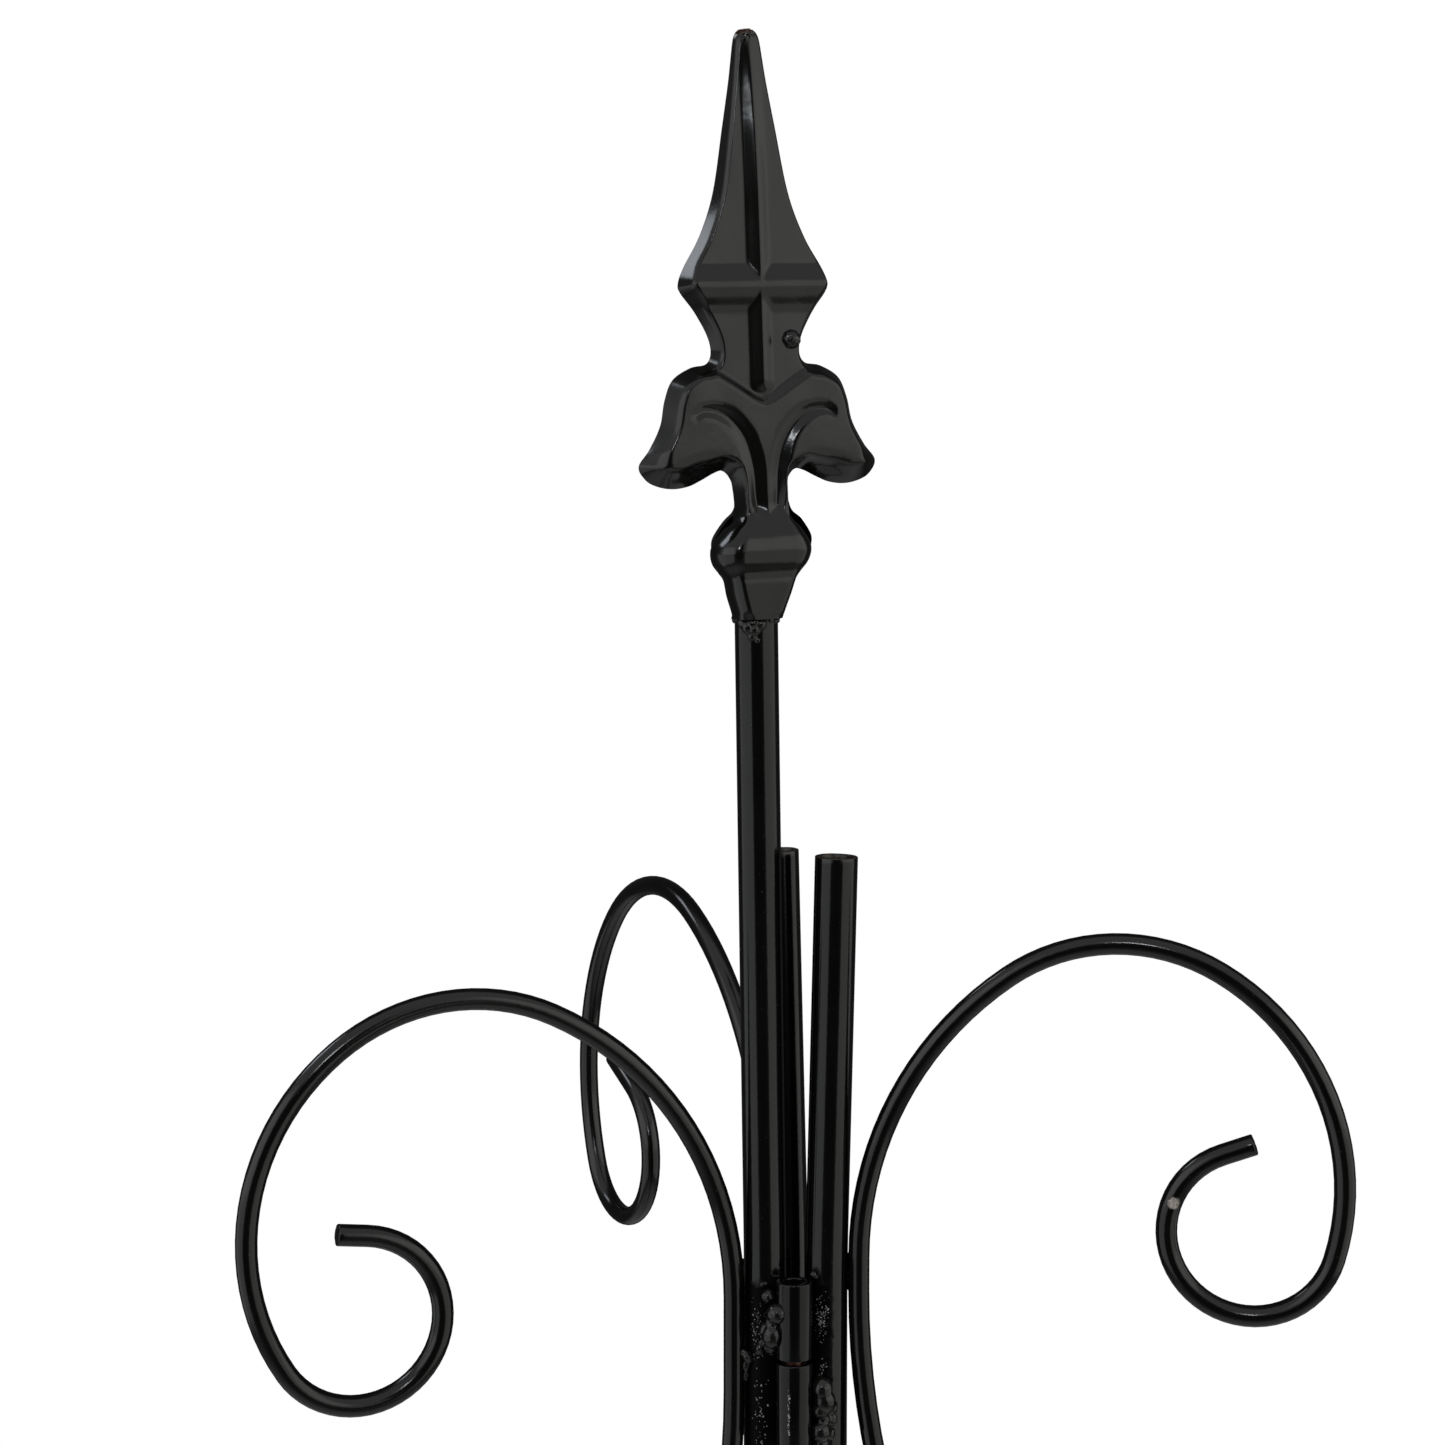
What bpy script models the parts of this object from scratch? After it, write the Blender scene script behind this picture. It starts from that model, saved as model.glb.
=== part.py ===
"""Three-legged folding metal trellis arch with a spear finial.

Each leg is a flat ladder of one round tube and one round bar. The three tubes stand
close together at the hub, where two barrel hinges let the right and the rear leg fold
flat against the left one. Above the hub each bar rolls out into a scroll, and
the left tube carries the finial. Metres, +Z up, feet on z = 0.
"""
import math

import bmesh
import bpy
from mathutils import Matrix, Vector

# Stock
TUBE_R = 0.00635            # half-inch tube
TUBE_WALL = 0.00125
BAR_R = 0.00315             # quarter-inch bar
ROD_R = 0.0028              # rungs and panel scrolls
GAP = 0.0003                # clearance between pieces that touch
SMOOTH_ANGLE = math.radians(35)
CHORD_ERROR = 0.0008        # how far a facet may cut a bend

# Heights, from the ground
HUB_Z = 2.04                # top edge of the upper hinge barrels
JOINT_Z = 1.10              # where crown and lower leg meet
FOOT_T = 0.004

# Crown and leg outline, in each leg's own plane
STUB_BEND_Z = 0.005         # the stubs lean outwards from here up
TUBE_DROP = 0.19            # straight tube below the hub
ROOF_TURN = 62.0
TUBE_SWEEP_R = 0.32
TUBE_ROOF = 0.16
TUBE_SHOULDER_R = 0.36
BAR_SWEEP_R = 0.245
BAR_SHOULDER_R = 0.42
PANEL_WIDTH = 0.15          # tube centre to bar centre in the lower leg
CROWN_RUNG_SHARES = (0.04, 0.96)    # places of the two crown rungs along the roof

# Hinges
BARREL_R = 0.0054
BARREL_BORE_R = 0.0031
BARREL_TOP = 0.0005         # upper knuckles end this far above the hub's height
UPPER_LENGTH = 0.0232
LOWER_LENGTH = 0.0262
BARREL_SPACE = 0.0012
PIN_R = 0.0027
PIN_HEAD_R = 0.0044
PIN_HEAD_END_R = 0.0036
PIN_HEAD_T = 0.0016
PIN_RECESS = 0.002
HINGE_REACH = TUBE_R + BARREL_R + GAP
FRONT_SLACK = 0.0008        # the front barrels stand this much further from the right tube

# Welds
WELD_R = 0.0021
WELD_WAIST = 0.55           # share of the radius left between two lumps
WELD_PITCH = 0.0075
WELD_END_SPACE = 0.003      # bare length at each end of a knuckle
NECK_WELD_RISE = 0.004      # middle of the neck weld over the neck's low end
NECK_WELD_SIDES = {"left": -1, "right": 1, "rear": -1}
RING_WELD_R = 0.0013

# Lower panel
RUNG_HEIGHTS = (1.02, 0.58, 0.34, 0.10)
SPIGOT_R = 0.0046
SPIGOT_BORE_R = 0.0034
SPIGOT_LENGTH = 0.080
SLEEVE_R = 0.0052
SLEEVE_BORE_R = 0.0037
SLEEVE_LENGTH = 0.050
FOOT_WIDTH = 0.016
FOOT_OVERHANG = 0.018

# Finial
FINIAL_Z = 0.1957           # bottom of the cup above the hub
FINIAL_LEAN = math.radians(1.9)
SHEET = 0.0009
FINIAL_OFFSET = 0.0021      # the blade stands off the tube's line by this much
FINIAL_NECK_Z = 0.031
RIVET_PLACE = (0.0093, 0.0803)
RIVET_R = 0.0015
RIVET_HEAD_R = 0.0026
RIVET_HEAD_T = 0.0009
RIVET_REACH = 0.0064        # from the seam to the underside of a head
CUTTER_REACH = 0.02

SLOT_COLOURS = {
    "powder_coat": ((0.010, 0.010, 0.011), 0.22, 0.0),
    "finial_coat": ((0.013, 0.013, 0.013), 0.32, 0.0),
    "weld_coat": ((0.012, 0.012, 0.013), 0.18, 0.0),
    "pin_steel": ((0.20, 0.11, 0.08), 0.48, 1.0),
    "zinc_steel": ((0.45, 0.46, 0.47), 0.38, 1.0),
}


class Leg:
    """Where one leg stands at the hub, and how its hand-bent bar sits on its tube."""

    def __init__(self, name, azimuth, tube, top, lean, neck_top, neck_low, scroll, tip):
        self.name = name
        self.azimuth = math.radians(azimuth)
        self.tube = Vector(tube)
        self.top = top
        self.lean = Vector(lean)
        self.neck_top = neck_top
        self.neck_low = neck_low
        self.scroll = scroll      # (radius, turn) of each bend from the neck to the curl
        self.tip = tip            # straight end of the curl


LEGS = (
    Leg("left", 199.4, (-0.0090, 0.00715), 0.2035, (-0.0150, -0.0053), -0.0060, -0.035,
        ((0.0984, 64.0), (0.0599, 64.0), (0.0686, 84.6), (0.0246, 230.8)), 0.0088),
    Leg("right", -10.7, (0.0092, 0.0070), 0.1257, (0.0216, -0.0041), 0.0061, -0.004,
        ((0.1054, 54.1), (0.0560, 66.1), (0.0727, 75.5), (0.0244, 233.6)), 0.0098),
    Leg("rear", 115.5, (-0.0021, 0.0207), 0.1257, (-0.0257, 0.0087), 0.0042, -0.020,
        ((0.1031, 64.4), (0.0553, 69.0), (0.0771, 71.3), (0.0242, 221.7)), 0.0176),
)


class Route:
    """A centreline in a leg's plane: x outwards, z up, heading in degrees from +x."""

    def __init__(self, x, z, heading):
        self.points = [(x, z)]
        self.heading = heading

    def straight(self, length):
        x, z = self.points[-1]
        turn = math.radians(self.heading)
        self.points.append((x + length * math.cos(turn), z + length * math.sin(turn)))
        return self

    def bend(self, radius, turn):
        x, z = self.points[-1]
        side = math.copysign(1.0, turn)
        start = math.radians(self.heading)
        centre = (x - side * radius * math.sin(start), z + side * radius * math.cos(start))
        largest = 2 * math.acos(1 - CHORD_ERROR / radius)
        steps = max(2, math.ceil(abs(math.radians(turn)) / largest))
        for step in range(1, steps + 1):
            angle = start + math.radians(turn) * step / steps
            self.points.append((centre[0] + side * radius * math.sin(angle),
                                centre[1] - side * radius * math.cos(angle)))
        self.heading += turn
        return self

    def down_to(self, z):
        return self.straight(self.points[-1][1] - z)


def bend_run(radius):
    """How far outwards a bend of the roof's turn carries a centreline."""
    return radius * (1 - math.cos(math.radians(ROOF_TURN)))


ROOF_SIN = math.sin(math.radians(ROOF_TURN))
NECK_X = TUBE_R + BAR_R + GAP
TUBE_X = bend_run(TUBE_SWEEP_R) + bend_run(TUBE_SHOULDER_R) + TUBE_ROOF * ROOF_SIN
BAR_X = TUBE_X + PANEL_WIDTH


def material(slot):
    """The named Principled material, made once."""
    if slot in bpy.data.materials:
        return bpy.data.materials[slot]
    colour, roughness, metallic = SLOT_COLOURS[slot]
    made = bpy.data.materials.new(slot)
    made.use_nodes = True
    shader = made.node_tree.nodes["Principled BSDF"]
    shader.inputs["Base Color"].default_value = (*colour, 1.0)
    shader.inputs["Roughness"].default_value = roughness
    shader.inputs["Metallic"].default_value = metallic
    return made


def make_empty(name, parent=None, location=(0, 0, 0), azimuth=0.0):
    empty = bpy.data.objects.new(name, None)
    bpy.context.collection.objects.link(empty)
    empty.location = location
    empty.rotation_euler.z = azimuth
    empty.parent = parent
    return empty


def make_object(name, bm, slot, parent, location=(0, 0, 0)):
    """Turn a bmesh into one named, smooth-shaded object."""
    bmesh.ops.recalc_face_normals(bm, faces=bm.faces)
    mesh = bpy.data.meshes.new(name)
    bm.to_mesh(mesh)
    bm.free()
    mesh.shade_smooth()
    mesh.set_sharp_from_angle(angle=SMOOTH_ANGLE)
    mesh.materials.append(material(slot))
    made = bpy.data.objects.new(name, mesh)
    bpy.context.collection.objects.link(made)
    made.parent = parent
    made.location = location
    return made


def ring(bm, centre, across, up, radius, sides):
    """One loop of vertices around a centre, in the plane of two unit vectors."""
    loop = []
    for side in range(sides):
        angle = 2 * math.pi * (side + 0.5) / sides
        loop.append(bm.verts.new(centre + radius * (math.cos(angle) * across + math.sin(angle) * up)))
    return loop


def skin(bm, loops):
    """Quads between each closed loop and the next."""
    for low, high in zip(loops, loops[1:]):
        count = len(low)
        for side in range(count):
            after = (side + 1) % count
            bm.faces.new((low[side], low[after], high[after], high[side]))


def sweep_loops(bm, points, radius, sides):
    """Rings along a centreline that stays close to one vertical plane."""
    loops = []
    for index, point in enumerate(points):
        before = points[max(index - 1, 0)]
        after = points[min(index + 1, len(points) - 1)]
        tangent = (after - before).normalized()
        across = tangent.cross(Vector((0, 1, 0))).normalized()
        up = across.cross(tangent).normalized()
        loops.append(ring(bm, point, across, up, radius, sides))
    return loops


def swept_rod(bm, points, radius, sides=8):
    loops = sweep_loops(bm, points, radius, sides)
    skin(bm, loops)
    bm.faces.new(loops[0])
    bm.faces.new(loops[-1])


def swept_tube(bm, points, radius, bore, sides=12):
    """A pipe that is open at both ends."""
    outer = sweep_loops(bm, points, radius, sides)
    inner = sweep_loops(bm, points, bore, sides)
    skin(bm, outer)
    skin(bm, inner)
    skin(bm, [outer[0], inner[0]])
    skin(bm, [outer[-1], inner[-1]])


def turned_loops(bm, profile, centre, sides):
    """Rings for each (radius, height) of a profile about a vertical axis."""
    base = Vector(centre)
    east, north = Vector((1, 0, 0)), Vector((0, 1, 0))
    return [ring(bm, base + Vector((0, 0, height)), east, north, radius, sides)
            for radius, height in profile]


def turned_ring(bm, profile, centre=(0, 0, 0), sides=16):
    """A closed profile turned about a vertical axis that it doesn't touch."""
    loops = turned_loops(bm, profile, centre, sides)
    skin(bm, loops + [loops[0]])


def turned_solid(bm, profile, centre=(0, 0, 0), sides=12):
    """A stack of rings with a flat face at each end."""
    loops = turned_loops(bm, profile, centre, sides)
    skin(bm, loops)
    bm.faces.new(loops[0])
    bm.faces.new(loops[-1])


def in_plane(points):
    return [Vector((x, 0, z)) for x, z in points]


def crown_tube(leg, parent):
    """Leaning stub, hub straight, outward sweep, roof and shoulder in one bent pipe."""
    lean = leg.lean.copy()
    lean.rotate(Matrix.Rotation(-leg.azimuth, 2))
    rise = leg.top - STUB_BEND_Z
    stub_top = Vector((lean.x * rise, lean.y * rise, leg.top))
    route = Route(0.0, STUB_BEND_Z, -90).down_to(-TUBE_DROP)
    route.bend(TUBE_SWEEP_R, ROOF_TURN).straight(TUBE_ROOF)
    route.bend(TUBE_SHOULDER_R, -ROOF_TURN).down_to(JOINT_Z - HUB_Z + GAP / 2)
    bm = bmesh.new()
    swept_tube(bm, [stub_top] + in_plane(route.points), TUBE_R, TUBE_R - TUBE_WALL)
    make_object(f"{leg.name}_crown_tube", bm, "powder_coat", parent)


def bar_down(leg):
    """The bar's route from its neck weld, out over the roof and down to the joint."""
    roof = (BAR_X - NECK_X - bend_run(BAR_SWEEP_R) - bend_run(BAR_SHOULDER_R)) / ROOF_SIN
    route = Route(NECK_X, leg.neck_top, -90).down_to(leg.neck_low)
    route.bend(BAR_SWEEP_R, ROOF_TURN)
    roof_start = route.points[-1]
    route.straight(roof).bend(BAR_SHOULDER_R, -ROOF_TURN).down_to(JOINT_Z - HUB_Z + GAP / 2)
    return route.points, roof_start


def crown_bar(leg, parent):
    """The scroll above the neck and the outer rail below it, one length of bar."""
    scroll = Route(NECK_X, leg.neck_top, 90)
    for radius, turn in leg.scroll:
        scroll.bend(radius, -turn)
    scroll.straight(leg.tip)
    down, _ = bar_down(leg)
    bm = bmesh.new()
    swept_rod(bm, in_plane(scroll.points[:0:-1] + down), BAR_R)
    make_object(f"{leg.name}_crown_bar", bm, "powder_coat", parent)


def crown_rungs(leg, parent):
    """Two rods square to the roof, from tube to bar."""
    tube = Route(0.0, -TUBE_DROP, -90).bend(TUBE_SWEEP_R, ROOF_TURN)
    along = Vector((math.cos(math.radians(tube.heading)), 0, math.sin(math.radians(tube.heading))))
    square = Vector((-along.z, 0, along.x))
    tube_start = in_plane(tube.points)[-1]
    bar_start = Vector((bar_down(leg)[1][0], 0, bar_down(leg)[1][1]))
    spacing = (bar_start - tube_start).dot(square)
    for number, share in enumerate(CROWN_RUNG_SHARES, start=1):
        foot = tube_start + along * TUBE_ROOF * share
        bm = bmesh.new()
        swept_rod(bm, [foot + square * (TUBE_R + GAP), foot + square * (spacing - BAR_R - GAP)], ROD_R)
        make_object(f"{leg.name}_crown_rung_{number}", bm, "powder_coat", parent)


def lower_leg(leg, parent):
    """Tube, bar, rungs, sleeves and foot of the straight lower panel."""
    ground = FOOT_T + GAP - HUB_Z
    top = JOINT_Z - HUB_Z - GAP / 2
    bm = bmesh.new()
    swept_tube(bm, in_plane([(TUBE_X, top), (TUBE_X, ground)]), TUBE_R, TUBE_R - TUBE_WALL)
    make_object(f"{leg.name}_leg_tube", bm, "powder_coat", parent)
    bm = bmesh.new()
    swept_rod(bm, in_plane([(BAR_X, top), (BAR_X, ground)]), BAR_R)
    make_object(f"{leg.name}_leg_bar", bm, "powder_coat", parent)
    for number, height in enumerate(RUNG_HEIGHTS, start=1):
        z = height - HUB_Z
        bm = bmesh.new()
        swept_rod(bm, in_plane([(TUBE_X + TUBE_R + GAP, z), (BAR_X - BAR_R - GAP, z)]), ROD_R)
        make_object(f"{leg.name}_rung_{number}", bm, "powder_coat", parent)
    joint = JOINT_Z - HUB_Z
    for name, x, radius, bore, length, slot in (
            ("tube_spigot", TUBE_X, SPIGOT_R, SPIGOT_BORE_R, SPIGOT_LENGTH, "zinc_steel"),
            ("bar_sleeve", BAR_X, SLEEVE_R, SLEEVE_BORE_R, SLEEVE_LENGTH, "powder_coat")):
        bm = bmesh.new()
        low, high = joint - length / 2, joint + length / 2
        turned_ring(bm, [(radius, low), (radius, high), (bore, high), (bore, low)], (x, 0, 0), sides=12)
        make_object(f"{leg.name}_{name}", bm, slot, parent)


def foot_plate(leg, parent):
    """A flat strap with round ends under the tube and the bar."""
    half = FOOT_WIDTH / 2
    left, right = TUBE_X - FOOT_OVERHANG, BAR_X + FOOT_OVERHANG
    steps = 6
    outline = []
    for centre, start in ((right, -math.pi / 2), (left, math.pi / 2)):
        for step in range(steps + 1):
            angle = start + math.pi * step / steps
            outline.append((centre + half * math.cos(angle), half * math.sin(angle)))
    bm = bmesh.new()
    low = [bm.verts.new((x, y, -HUB_Z)) for x, y in outline]
    high = [bm.verts.new((x, y, FOOT_T - HUB_Z)) for x, y in outline]
    skin(bm, [low, high])
    bm.faces.new(low)
    bm.faces.new(high)
    make_object(f"{leg.name}_foot_plate", bm, "powder_coat", parent)


def panel_scroll(leg, parent):
    """An S of rod between the two upper rungs, touching tube and bar."""
    half = Route(0.0, 0.0, 52).straight(0.045).bend(0.150, 38)
    half.bend(0.060, 150).bend(0.030, 150).bend(0.018, 60)
    reach = max(abs(x) for x, _ in half.points)
    room = (PANEL_WIDTH - TUBE_R - BAR_R) / 2 - ROD_R - GAP
    scale = room / reach
    centre_x = (TUBE_X + TUBE_R + BAR_X - BAR_R) / 2
    centre_z = (RUNG_HEIGHTS[0] + RUNG_HEIGHTS[1]) / 2 - HUB_Z
    upper = [(centre_x + x * scale, centre_z + z * scale) for x, z in half.points]
    lower = [(centre_x - x * scale, centre_z - z * scale) for x, z in half.points[1:]]
    bm = bmesh.new()
    swept_rod(bm, in_plane(lower[::-1] + upper), ROD_R, sides=6)
    make_object(f"{leg.name}_panel_scroll", bm, "powder_coat", parent)


def meeting_point(first, second, first_reach, second_reach, side):
    """The point at given distances from two points, on one side of the line between them."""
    line = second - first
    length = line.length
    along = (length ** 2 + first_reach ** 2 - second_reach ** 2) / (2 * length)
    away = math.sqrt(first_reach ** 2 - along ** 2)
    direction = line / length
    return first + direction * along + side * away * Vector((-direction.y, direction.x))


def barrel_profile(low, high):
    return [(BARREL_R, low), (BARREL_R, high), (BARREL_BORE_R, high), (BARREL_BORE_R, low)]


def hinge(name, axis, root_parent, moving_parent):
    """Two knuckles and a pin; the top knuckle and the pin stay with the left leg."""
    middle = BARREL_TOP - UPPER_LENGTH
    bottom = middle - BARREL_SPACE - LOWER_LENGTH
    bm = bmesh.new()
    turned_ring(bm, barrel_profile(middle, BARREL_TOP))
    make_object(f"{name}_knuckle_top", bm, "powder_coat", root_parent, (*axis, HUB_Z))
    bm = bmesh.new()
    turned_ring(bm, barrel_profile(bottom, middle - BARREL_SPACE))
    make_object(f"{name}_knuckle_bottom", bm, "powder_coat", moving_parent)
    head = bottom - GAP
    bm = bmesh.new()
    turned_solid(bm, [(PIN_HEAD_END_R, head - PIN_HEAD_T), (PIN_HEAD_R, head - PIN_HEAD_T / 2),
                      (PIN_HEAD_R, head), (PIN_R, head), (PIN_R, BARREL_TOP - PIN_RECESS)])
    make_object(f"{name}_pin", bm, "pin_steel", root_parent, (*axis, HUB_Z))


def weld_bead(name, tube, other, other_r, side, low, high, parent):
    """One lumpy bead in the valley between a tube and a round neighbour."""
    place = meeting_point(tube, other, TUBE_R + WELD_R + GAP, other_r + WELD_R + GAP, side)
    lumps = max(1, round((high - low) / WELD_PITCH))
    rings_per_lump = 4
    count = lumps * rings_per_lump
    profile = []
    for index in range(count + 1):
        phase = math.pi * index / rings_per_lump
        radius = WELD_R * (WELD_WAIST + (1 - WELD_WAIST) * abs(math.sin(phase)))
        profile.append((radius, low + (high - low) * index / count))
    bm = bmesh.new()
    turned_solid(bm, profile, (*place, 0), sides=8)
    make_object(name, bm, "weld_coat", parent)


def leg_welds(leg, parent, origin, seams):
    """Beads of one leg, in the coordinates of its unrotated empty."""
    tube = leg.tube - origin
    for hinge_name, barrel, side, low, high in seams:
        weld_bead(f"{hinge_name}_{leg.name}_weld", tube, barrel - origin, BARREL_R, side,
                  low + WELD_END_SPACE, high - WELD_END_SPACE, parent)
    outward = Vector((math.cos(leg.azimuth), math.sin(leg.azimuth)))
    middle = leg.neck_low + NECK_WELD_RISE
    weld_bead(f"{leg.name}_neck_weld", tube, tube + outward * NECK_X, BAR_R,
              NECK_WELD_SIDES[leg.name], middle - WELD_PITCH / 2, middle + WELD_PITCH / 2, parent)


# Finial: each station runs from a point on the axis to a point on the edge.
# (axis height, edge reach, edge height, depth, roundness); roundness 1 is a half circle.
FINIAL_STATIONS = (
    (0.0000, 0.0077, 0.0000, 0.0077, 1.0),
    (0.0050, 0.0091, 0.0050, 0.0088, 0.9),
    (0.0112, 0.0105, 0.0112, 0.0092, 0.8),
    (0.0133, 0.0120, 0.0133, 0.0100, 0.8),
    (0.0175, 0.0149, 0.0175, 0.0112, 0.8),
    (0.0216, 0.0147, 0.0216, 0.0110, 0.8),
    (0.0262, 0.0115, 0.0262, 0.0094, 0.8),
    (0.0300, 0.0082, 0.0300, 0.0080, 0.7),
    (0.0360, 0.0081, 0.0360, 0.0078, 0.5),
    (0.0400, 0.0090, 0.0405, 0.0074, 0.4),
    (0.0440, 0.0119, 0.0432, 0.0072, 0.3),
    (0.0485, 0.0150, 0.0425, 0.0070, 0.3),
    (0.0525, 0.0200, 0.0395, 0.0070, 0.3),
    (0.0537, 0.0261, 0.0384, 0.0070, 0.3),
    (0.0549, 0.0330, 0.0400, 0.0068, 0.3),
    (0.0561, 0.0365, 0.0446, 0.0066, 0.3),
    (0.0580, 0.0325, 0.0506, 0.0068, 0.3),
    (0.0605, 0.0289, 0.0583, 0.0070, 0.3),
    (0.0640, 0.0276, 0.0655, 0.0070, 0.3),
    (0.0680, 0.0231, 0.0716, 0.0068, 0.3),
    (0.0715, 0.0160, 0.0735, 0.0066, 0.3),
    (0.0762, 0.0135, 0.0762, 0.0060, 0.3),
    (0.0825, 0.0151, 0.0825, 0.0058, 0.3),
    (0.0915, 0.0208, 0.0915, 0.0060, 0.3),
    (0.0960, 0.0229, 0.0960, 0.0064, 0.3),
    (0.1010, 0.0212, 0.1010, 0.0060, 0.3),
    (0.1105, 0.0158, 0.1105, 0.0058, 0.4),
    (0.1227, 0.0114, 0.1227, 0.0056, 0.5),
    (0.1411, 0.0080, 0.1411, 0.0052, 0.7),
    (0.1600, 0.0047, 0.1600, 0.0042, 1.0),
    (0.1670, 0.0034, 0.1670, 0.0034, 1.0),
    (0.1688, 0.0022, 0.1688, 0.0022, 1.0),
)
FINIAL_COLUMNS = 4


def crown_depth(share, roundness):
    """Depth of a pressed section at a share of its half width: flat-topped to half round."""
    power = 2 + 6 * (1 - roundness)
    return (1 - share ** power) ** 0.5


def centre_shift(height):
    """How far the finial's middle has moved off the tube's line at a height."""
    share = min(height / FINIAL_NECK_Z, 1.0)
    return FINIAL_OFFSET * share * share * (3 - 2 * share)


def shell_sheet(bm, side, inset):
    """One face of a half shell, set in from the outer face by the sheet's thickness."""
    rows = []
    for axis_v, edge_u, edge_v, depth, roundness in FINIAL_STATIONS:
        row = []
        for column in range(-FINIAL_COLUMNS, FINIAL_COLUMNS + 1):
            share = abs(column) / FINIAL_COLUMNS
            eased = math.sin(share * math.pi / 2)
            reach = (edge_u - inset) * eased
            height = axis_v + (edge_v - axis_v) * eased
            rise = GAP / 2 + (depth - inset - GAP / 2) * crown_depth(eased, roundness)
            across = centre_shift(axis_v) + math.copysign(reach, column)
            row.append(bm.verts.new((across, side * rise, height)))
        rows.append(row)
    for low, high in zip(rows, rows[1:]):
        for column in range(len(low) - 1):
            bm.faces.new((low[column], low[column + 1], high[column + 1], high[column]))
    right_edge = [row[-1] for row in rows[1:-1]]
    left_edge = [row[0] for row in rows[-2:0:-1]]
    return rows[0] + right_edge + rows[-1][::-1] + left_edge


def finial_shell(name, side, parent, cutter):
    bm = bmesh.new()
    skin(bm, [shell_sheet(bm, side, 0.0), shell_sheet(bm, side, SHEET)])
    shell = make_object(name, bm, "finial_coat", parent)
    hole = shell.modifiers.new("rivet_hole", "BOOLEAN")
    hole.operation = "DIFFERENCE"
    hole.object = cutter


def finial(parent):
    """Front and back pressed shells, held by one rivet."""
    sides = 12
    bm = bmesh.new()
    east, up = Vector((1, 0, 0)), Vector((0, 0, 1))
    centre = Vector((RIVET_PLACE[0], 0, RIVET_PLACE[1]))

    def across(reach, radius):
        return ring(bm, centre + Vector((0, reach, 0)), east, up, radius, sides)

    loops = [across(-CUTTER_REACH, RIVET_R + GAP), across(CUTTER_REACH, RIVET_R + GAP)]
    skin(bm, loops)
    bm.faces.new(loops[0])
    bm.faces.new(loops[1])
    cutter = make_object("rivet_cutter", bm, "zinc_steel", parent)
    cutter.hide_render = True
    cutter.display_type = "WIRE"
    finial_shell("finial_front_shell", -1, parent, cutter)
    finial_shell("finial_back_shell", 1, parent, cutter)
    bm = bmesh.new()
    outside = RIVET_REACH + RIVET_HEAD_T
    loops = [across(-outside, RIVET_HEAD_R), across(-RIVET_REACH, RIVET_HEAD_R),
             across(-RIVET_REACH, RIVET_R), across(RIVET_REACH, RIVET_R),
             across(RIVET_REACH, RIVET_HEAD_R), across(outside, RIVET_HEAD_R)]
    skin(bm, loops)
    bm.faces.new(loops[0])
    bm.faces.new(loops[-1])
    make_object("finial_rivet", bm, "powder_coat", parent)


def finial_weld(parent):
    """The ring of weld where the cup meets the left tube."""
    middle = TUBE_R + RING_WELD_R + GAP
    steps = 6
    profile = [(middle + RING_WELD_R * math.cos(2 * math.pi * step / steps),
                -RING_WELD_R - GAP + RING_WELD_R * math.sin(2 * math.pi * step / steps))
               for step in range(steps)]
    bm = bmesh.new()
    turned_ring(bm, profile)
    make_object("finial_weld", bm, "weld_coat", parent)


def centre_on_origin(root):
    """Move the assembly so that the middle of its footprint is the origin."""
    bpy.context.view_layer.update()
    corners = [made.matrix_world @ Vector(corner) for made in bpy.data.objects
               if made.type == "MESH" and not made.hide_render for corner in made.bound_box]
    for axis in (0, 1):
        low = min(corner[axis] for corner in corners)
        high = max(corner[axis] for corner in corners)
        root.location[axis] = -(low + high) / 2
    bpy.context.view_layer.update()


def build():
    for old in list(bpy.data.objects):
        bpy.data.objects.remove(old)
    left, right, rear = LEGS
    root = make_empty("trellis_arch")
    front_axis = meeting_point(left.tube, right.tube, HINGE_REACH, HINGE_REACH + FRONT_SLACK, -1)
    back_axis = meeting_point(left.tube, rear.tube, HINGE_REACH, HINGE_REACH, 1)
    axes = {"left": Vector((0, 0)), "right": front_axis, "rear": back_axis}
    upper_low = BARREL_TOP - UPPER_LENGTH
    lower_high = upper_low - BARREL_SPACE
    upper, lower = (upper_low, BARREL_TOP), (lower_high - LOWER_LENGTH, lower_high)
    seams = {"left": (("front_hinge", front_axis, -1, *upper), ("rear_hinge", back_axis, 1, *upper)),
             "right": (("front_hinge", front_axis, 1, *lower),),
             "rear": (("rear_hinge", back_axis, -1, *lower),)}
    folds = {}
    for leg in LEGS:
        axis = axes[leg.name]
        fold = make_empty(f"{leg.name}_fold", root, (*axis, HUB_Z))
        frame = make_empty(f"{leg.name}_frame", fold, (*(leg.tube - axis), 0), leg.azimuth)
        folds[leg.name] = fold
        for piece in (crown_tube, crown_bar, crown_rungs, lower_leg, foot_plate, panel_scroll):
            piece(leg, frame)
        leg_welds(leg, fold, axis, seams[leg.name])
    hinge("front_hinge", front_axis, root, folds["right"])
    hinge("rear_hinge", back_axis, root, folds["rear"])
    lean_x, lean_y = left.lean * (FINIAL_Z - STUB_BEND_Z)
    seat = make_empty("finial_seat", root, (left.tube.x + lean_x, left.tube.y + lean_y,
                                            HUB_Z + FINIAL_Z), left.azimuth - math.pi)
    seat.rotation_euler.y = -FINIAL_LEAN
    finial(seat)
    finial_weld(seat)
    centre_on_origin(root)


build()
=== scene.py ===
"""Looks of the three-legged folding trellis arch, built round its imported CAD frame.

Every round piece of the frame is replaced by a finely made one on the same centreline,
the pressed finial gets its full relief, and the hinge gets its welds and spatter.
Metres, +Z up, feet on z = 0. Pieces are placed from the frame's own boxes.
"""
import math
import random

import bpy
import numpy as np
from mathutils import Matrix, Vector, noise


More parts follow.
